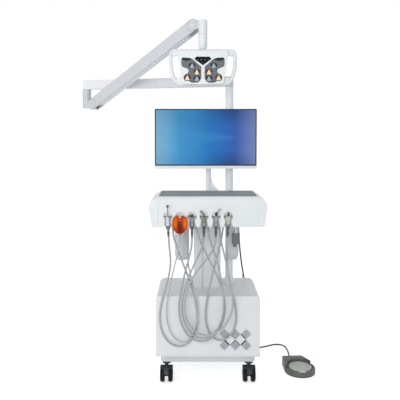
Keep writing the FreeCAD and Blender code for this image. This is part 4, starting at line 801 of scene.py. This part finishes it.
def vent_diamonds():
    """Diamond grilles of fine slats in a narrow frame, a little proud of the cabinet's front."""
    low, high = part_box("vent_grilles")
    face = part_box("cabinet_shell")[0].y
    # Half a diamond's width, how far in its middle lies, and its slats' pitch and half height.
    half, inset, pitch, thin = 24.6, 24, 2.3, 0.55
    made = bmesh.new()
    across = (high.x - low.x) * MM - 2 * inset
    tall = (high.z - low.z) * MM - 2 * inset
    for column in range(3):
        for row in range(2):
            at = Vector((low.x + (inset + across * column / 2) / MM, face, low.z + (inset + tall * row) / MM))
            outer = [(half, 0), (0, half), (-half, 0), (0, -half)]
            inner = [(x * 0.90, z * 0.90) for x, z in outer]
            for k in range(4):
                edge = [outer[k], outer[(k + 1) % 4], inner[(k + 1) % 4], inner[k]]
                plates(made, [edge], 2.0, -0.9, at)
            plates(made, [[(x * 0.92, z * 0.92) for x, z in outer]], 3.4, 1.4, at)
            for slat in range(-9, 10):
                z = slat * pitch
                wide = 0.91 * half - abs(z)
                if wide > 1:
                    plates(made, [[(-wide, z - thin), (wide, z - thin), (wide, z + thin), (-wide, z + thin)]],
                           1.6, -0.5, at)
    piece("vent_diamonds", made, "lilac", "cart", "vent_grilles", slot="lilac_plastic", sharp=30)


# ---------------- instruments

# The way an instrument leans and lifts, the way out of its front, where its tail is and how far along the
# lean from the frame's origin, in millimetres; and the stalk that all six have in common.
LEAN = Vector((0.0, -0.5, 0.8660254))
OUTWARD = Vector((0.0, -0.8660254, -0.5))
ASIDE = Vector((1.0, 0.0, 0.0))
TAIL = Vector((0.0, -0.2292, 0.765))
TAIL_ALONG = 777.11
SHAFT = [(5.4, 0), (5.8, 0.4), (5.8, 9), (6.9, 13), (8.1, 20), (8.5, 24), (8.5, 46.5), (11.1, 46.5), (11.5, 47),
         (11.5, 50), (11.0, 50.6)]


def bend(made, knots, sides=16, steps=6):
    """A tube along a smooth curve through knots of (x, y, z, radius)."""
    ends = [knots[0], *knots, knots[-1]]
    path = []
    for a, b, c, d in zip(ends, ends[1:], ends[2:], ends[3:]):
        for k in range(steps):
            t = k / steps
            path.append([
                0.5 * (2 * q + (r - p) * t + (2 * p - 5 * q + 4 * r - w) * t * t + (3 * q - p - 3 * r + w) * t ** 3)
                for p, q, r, w in zip(a, b, c, d)
            ])
    path.append(list(knots[-1]))
    places = [Vector(p[:3]) for p in path]
    ways = [(b - a).normalized() for a, b in zip(places, places[1:])]
    ringed(made, list(zip(places, ways + ways[-1:])), [p[3] for p in path], sides)


def tool(name, nose, necks=(), heads=(), buttons=()):
    """A handpiece in its cup: a turned stalk, bent necks, and heads or buttons turned about their own axes."""
    x, slot = TOOLS[name]
    made = bmesh.new()
    tail = TAIL + Vector((x, 0, 0))
    lathe(made, tail, LEAN, ASIDE, SHAFT + nose, 36)
    for knots in necks:
        bend(made, [(x + dx, y, z, radius) for dx, y, z, radius in knots])
    for dx, y, z, way, profile in heads:
        way = Vector(way).normalized()
        lathe(made, Vector((x + dx, y, z)), way, way.orthogonal().normalized(), profile, 28)
    for along, foot in buttons:
        lathe(made, tail + LEAN * along / MM + OUTWARD * foot / MM, OUTWARD, ASIDE,
              [(2.9, -3), (2.9, 2.4), (2.4, 3.0), (0, 3.2)], 20)
    piece(name + "_tool", made, name, name, name, slot=slot, sharp=50)


# Where each handpiece hangs along the rail, and its material slot.
TOOLS = {"oral_camera": (-0.1208, "white_gloss"), "curing_light": (-0.0620, "white_gloss"),
         "scaler": (-0.0032, "white_gloss"), "contra_angle": (0.0556, "tool_steel"),
         "turbine": (0.1144, "tool_steel"), "syringe": (0.1732, "tool_steel")}


def instruments():
    """The six handpieces, left to right."""
    tool("oral_camera", [(9, 53), (8.8, 66), (7.6, 80), (5.2, 92), (3.2, 100), (2.5, 104), (0, 105)],
         [[(0, -0.2782, 0.8500, 0.0026), (0, -0.2850, 0.8650, 0.0024), (0, -0.2888, 0.8800, 0.0024),
           (0, -0.2903, 0.8945, 0.0025)]],
         [(0, -0.2903, 0.8935, (0, -0.12, 0.99), [(2.4, -2), (4.6, 0.6), (5.4, 3), (5.4, 10), (4.6, 12), (0, 12.6)])])
    tool("curing_light",
         [(9, 52.4), (8.8, 55), (8.2, 57), (8.2, 62), (7.4, 66), (5.0, 71), (4.2, 75), (4.0, 80), (0, 80.5)],
         [[(0, -0.2660, 0.8290, 0.0040), (0, -0.2730, 0.8410, 0.0040), (0, -0.2815, 0.8478, 0.0040),
           (0, -0.2902, 0.8470, 0.0040), (0, -0.2962, 0.8415, 0.0039)]])
    tip = bmesh.new()
    way = Vector((0, -0.72, -0.69)).normalized()
    lathe(tip, Vector((TOOLS["curing_light"][0], -0.2960, 0.8416)), way, ASIDE,
          [(3.9, 0), (4.5, 0.4), (4.5, 3.4), (3.9, 3.9), (3.2, 3.4), (0, 3.0)], 28)
    piece("curing_tip", tip, "charcoal", "curing_light", slot="white_gloss")
    tool("scaler",
         [(9, 53), (9, 62), (8.0, 74), (6.2, 86), (5.4, 92), (6.2, 93), (6.6, 96), (6.6, 104), (5.6, 107), (0, 108)],
         [[(0, -0.2830, 0.8560, 0.0030), (-0.006, -0.2910, 0.8590, 0.0022), (-0.014, -0.2945, 0.8545, 0.0016),
           (-0.024, -0.2955, 0.8465, 0.0011), (-0.0335, -0.2955, 0.8380, 0.0006)]])
    tool("contra_angle", [(9, 53), (9, 64), (7.8, 68), (7.8, 80), (6.6, 86), (5.6, 90), (0, 90.5)],
         [[(0, -0.2720, 0.8400, 0.0056), (0, -0.2765, 0.8485, 0.0052), (-0.004, -0.2795, 0.8580, 0.0045),
           (-0.009, -0.2815, 0.8665, 0.0041), (-0.0125, -0.2825, 0.8715, 0.0040)]],
         [(-0.0140, -0.2830, 0.8735, (0.55, -0.72, 0.42),
           [(3.6, -7.4), (4.4, -7), (4.9, -5.6), (4.9, 3.6), (4.2, 5), (2.4, 5.8), (1.0, 6), (0.9, 12), (0.5, 13.4),
            (0, 13.6)])])
    tool("turbine",
         [(9, 53), (9, 62), (7.6, 66), (7.0, 76), (4.8, 84), (4.0, 92), (3.6, 99), (4.6, 102), (6.2, 104.5),
          (6.9, 108), (6.9, 113), (6.0, 116.5), (3.4, 119), (0, 119.6)],
         [[(0, -0.2858, 0.8640, 0.0030), (0.006, -0.2880, 0.8720, 0.0025), (0.0115, -0.2900, 0.8790, 0.0023),
           (0.0156, -0.2910, 0.8840, 0.0024)]],
         [(0.0165, -0.2912, 0.8850, (0.62, -0.55, -0.56),
           [(2.8, -5), (3.6, -4.4), (3.9, -3.4), (3.9, 2.6), (3.2, 4), (0.9, 4.4), (0.8, 10), (0, 10.6)])])
    tool("syringe",
         [(8.9, 52), (9.0, 58), (9.6, 66), (12.2, 82), (14.2, 92), (14.5, 95), (13.6, 98), (9.4, 100.5), (6.8, 102),
          (5.2, 104), (5.4, 106), (5.4, 111), (4.4, 114), (0, 115)],
         [[(0, -0.2850, 0.8620, 0.0034), (0, -0.2885, 0.8680, 0.0027), (0, -0.2935, 0.8715, 0.0022)]],
         buttons=((76, 10.2), (87, 12.4)))


# ---------------- foot control

def foot_control():
    """A drum with a sunk disc, the tall block behind it, and the clip across the front of the ring."""
    low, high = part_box("pedal_disc")
    at = Vector(((low.x + high.x) / 2, (low.y + high.y) / 2, 0.0))
    up = Vector((0, 0, 1))
    made = bmesh.new()
    lathe(made, at, up, ASIDE, [
        (77.6, 0), (78.4, 0.8), (78.4, 4), (77.4, 5), (77.4, 6), (78.4, 7), (78.4, 23), (77, 27.5), (74, 29.6),
        (67, 30), (65, 29), (64.4, 27), (64.4, 11), (0, 11)], 72)
    turns = [math.radians(24 + 160 * k / 26) for k in range(27)]
    inner = [(65.2 * math.cos(t), 65.2 * math.sin(t)) for t in turns]
    block = rounded([(-80, -6), (-80, 98, 12), (28, 104, 14), (62, 32, 5)])
    wall = bmesh.new()
    plates(wall, [block + [Vector(p) for p in inner]], 0, -46, Vector((0, 0, 0)), 2.2)
    for vert in wall.verts:
        vert.co = Vector((vert.co.x + at.x, vert.co.z + at.y, -vert.co.y))
    mesh = bpy.data.meshes.new("wall")
    wall.to_mesh(mesh)
    wall.free()
    made.from_mesh(mesh)
    bpy.data.meshes.remove(mesh)
    piece("foot_housing", made, "pedal", "cart", "pedal_base", slot="pedal_plastic", sharp=35)
    made = bmesh.new()
    rings = [(53, 16.4), (59, 17), (60.4, 18.4), (60.4, 28.6), (59.4, 30.6), (57.4, 31.8), (54, 32.4)]
    for k in range(9):
        foot = 52 - 5.4 * k
        rings += [(foot, 32.6 + 0.08 * k), (foot - 0.8, 32.1 + 0.08 * k), (foot - 2.0, 32.1 + 0.08 * k),
                  (foot - 2.8, 32.6 + 0.08 * k)]
    lathe(made, at, up, ASIDE, rings + [(0, 33.6)], 72)
    piece("foot_disc", made, "disc", "pedal_disc", "pedal_disc", slot="pedal_metal", sharp=35)
    made = bmesh.new()
    bridge = [(-17, 30), (-13, 30), (-11, 33.6, 2), (11, 33.6, 2), (13, 30), (17, 30), (17, 28), (-17, 28)]
    plates(made, [rounded(bridge)], -62.5, -75, at, 0.8)
    for side in (-7, 7):
        stud = at + Vector((side / MM, -0.0688, 0.0334))
        lathe(made, stud, up, ASIDE, [(3.2, 0), (3.2, 1.2), (2.4, 1.8), (0, 1.8)], 20)
    piece("foot_clip", made, "clip", "cart", slot="pedal_metal")


# ---------------- eye shield

# Half its width, its reach above and below its middle, its notch, its sheet and how low its faces meet.
SHIELD_HALF, SHIELD_RISE, SHIELD_DROP = 36, 43.0, 45.0
NOTCH_DEPTH, NOTCH_HALF, SHIELD_SHEET, CORE_DROP = 17.0, 6.5, 2.0, 5


def eye_shield():
    """An egg-shaped, dished visor with a rolled rim and a notch for the light guide."""
    low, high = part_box("curing_shield")
    at = Vector(((low.x + high.x) / 2, high.y, 0.8075))
    turns, rows = 120, 14

    def edge(turn):
        x, z = math.sin(turn), math.cos(turn)
        tall, full = (SHIELD_DROP, 1.9) if z < 0 else (SHIELD_RISE, 3.2)
        far = (abs(x / SHIELD_HALF) ** full + abs(z / tall) ** full) ** (-1 / full)
        notch = NOTCH_DEPTH * math.exp(-(far * x / NOTCH_HALF) ** 4) if z > 0 else 0.0
        return Vector((x * far, z * far - notch))

    def depth(x, z):
        return -2.0 - 5.2 * (x / SHIELD_HALF) ** 2 - 1.2 * (z / SHIELD_DROP) ** 2

    made = bmesh.new()
    uv = made.loops.layers.uv.new("local")
    sheets = []
    for thick in (0.0, -SHIELD_SHEET):
        rings = []
        for row in range(1, rows + 1):
            ring = []
            for k in range(turns):
                spot = edge(2 * math.pi * k / turns) * (row / rows)
                spot.y -= CORE_DROP * (1 - row / rows)
                ring.append(made.verts.new(
                    (at.x + spot.x / MM, at.y + (depth(spot.x, spot.y) + thick) / MM, at.z + spot.y / MM)))
            rings.append(ring)
        core = made.verts.new((at.x, at.y + (depth(0, -CORE_DROP) + thick) / MM, at.z - CORE_DROP / MM))
        for k in range(turns):
            made.faces.new((core, rings[0][k - 1], rings[0][k]))
        for inner, outer in zip(rings, rings[1:]):
            for k in range(turns):
                made.faces.new((inner[k - 1], outer[k - 1], outer[k], inner[k]))
        sheets.append(rings[-1])
    for k in range(turns):
        made.faces.new((sheets[0][k - 1], sheets[0][k], sheets[1][k], sheets[1][k - 1]))
    for face in made.faces:
        for loop in face.loops:
            away = loop.vert.co - at
            loop[uv].uv = (away.x / 0.08 + 0.5, away.z / 0.1 + 0.5)
    piece("eye_shield", made, "orange", "curing_light", "curing_shield", slot="orange_shield")
    made = bmesh.new()
    around = [edge(2 * math.pi * k / turns) for k in range(turns + 1)]
    rim = [Vector((at.x + p.x / MM, at.y + (depth(p.x, p.y) - SHIELD_SHEET / 2) / MM, at.z + p.y / MM))
           for p in around]
    path = [(a, (b - a).normalized()) for a, b in zip(rim, rim[1:])]
    ringed(made, path + [path[0]], [0.0014] * (turns + 1), 10)
    piece("shield_rim", made, "orange_rim", "curing_light", slot="orange_shield")


# ---------------- studio

# Name, place, aim, size and power of each lamp.
LAMPS = (
    ("front", (-1.0, -4.2, 1.9), (0, 0, 1.0), 3.0, 74.0),
    ("left", (-3.6, -1.2, 2.2), (0, 0, 1.0), 2.2, 16.0),
    ("top", (0.6, -0.4, 4.2), (0, 0, 0.8), 2.4, 9.0),
)
FILL_LIGHT, FILL_COLOUR = 0.50, (0.965, 0.98, 1.0, 1)
FLOOR_GLOW = 0.62
WHITE = (1, 1, 1, 1)


def seen_ray(tree):
    """1 for what the camera, a reflection or a clear part sees directly, 0 for light on the object."""
    path = tree.nodes.new("ShaderNodeLightPath").outputs
    shiny = maths(tree, "MAXIMUM", path["Is Camera Ray"], path["Is Glossy Ray"])
    return maths(tree, "MAXIMUM", shiny, path["Is Transmission Ray"])


def backdrop():
    """A world that lights the object plainly and looks white."""
    world = bpy.data.worlds.new("studio")
    bpy.context.scene.world = world
    world.use_nodes = True
    tree = world.node_tree
    tree.nodes.clear()
    out = tree.nodes.new("ShaderNodeOutputWorld")
    mix = tree.nodes.new("ShaderNodeMixShader")
    tree.links.new(seen_ray(tree), mix.inputs["Fac"])
    for socket, colour, strength in ((1, FILL_COLOUR, FILL_LIGHT), (2, WHITE, 1.0)):
        light = tree.nodes.new("ShaderNodeBackground")
        light.inputs["Color"].default_value = colour
        light.inputs["Strength"].default_value = strength
        tree.links.new(light.outputs[0], mix.inputs[socket])
    tree.links.new(mix.outputs[0], out.inputs["Surface"])


def studio():
    """Soft light from the front and above, on a pale floor that runs out into white."""
    backdrop()
    for name, at, aim, size, power in LAMPS:
        lamp = bpy.data.lights.new(name, "AREA")
        lamp.size = size
        lamp.energy = power
        thing = shown(name, lamp)
        thing.location = at
        thing.rotation_euler = (Vector(aim) - Vector(at)).to_track_quat("-Z", "Y").to_euler()
    bpy.ops.mesh.primitive_plane_add(size=40, location=(0, 0, -0.0005))
    floor = bpy.context.object
    floor.name = "floor"
    made, tree, shader = nodes_of("floor_pale")
    shader.inputs["Base Color"].default_value = (0.9, 0.9, 0.9, 1)
    shader.inputs["Roughness"].default_value = 0.9
    shader.inputs["Specular IOR Level"].default_value = 0.1
    shader.inputs["Emission Color"].default_value = WHITE
    tree.links.new(times(tree, seen_ray(tree), FLOOR_GLOW), shader.inputs["Emission Strength"])
    floor.data.materials.append(made)
    bpy.context.scene.view_settings.view_transform = "Standard"


camera()
palette = materials()
for end, route, thick, length, key, node in (
    ("camera", CAMERA_HOSE, HOSE, 1.336, "hose", "camera"),
    ("curing_light", CURING_HOSE, THIN_HOSE, 1.250, "thin", "curing"),
    ("scaler", SCALER_HOSE, HOSE, 1.307, "hose", "scaler"),
    ("contra_angle", CONTRA_HOSE, HOSE, 1.256, "hose", "contra"),
    ("turbine", TURBINE_HOSE, HOSE, 1.267, "hose", "turbine"),
    ("syringe", SYRINGE_HOSE, HOSE, 1.248, "hose", "syringe"),
):
    cord("hose_to_" + end, route, thick, key, "hose_" + node)
cord("cable_to_tray", UMBILICAL, CABLE, "cable", "umbilical_cable", slot="cable")
cord("cable_to_foot_control", PEDAL_CABLE, CABLE, "cable", "pedal_cable", "cable")
dress()
head = head_centre()
lamp_head(head)
lenses(head)
panel_marks(head)
arm_trim()
post_gusset()
vent_diamonds()
instruments()
eye_shield()
foot_control()
studio()
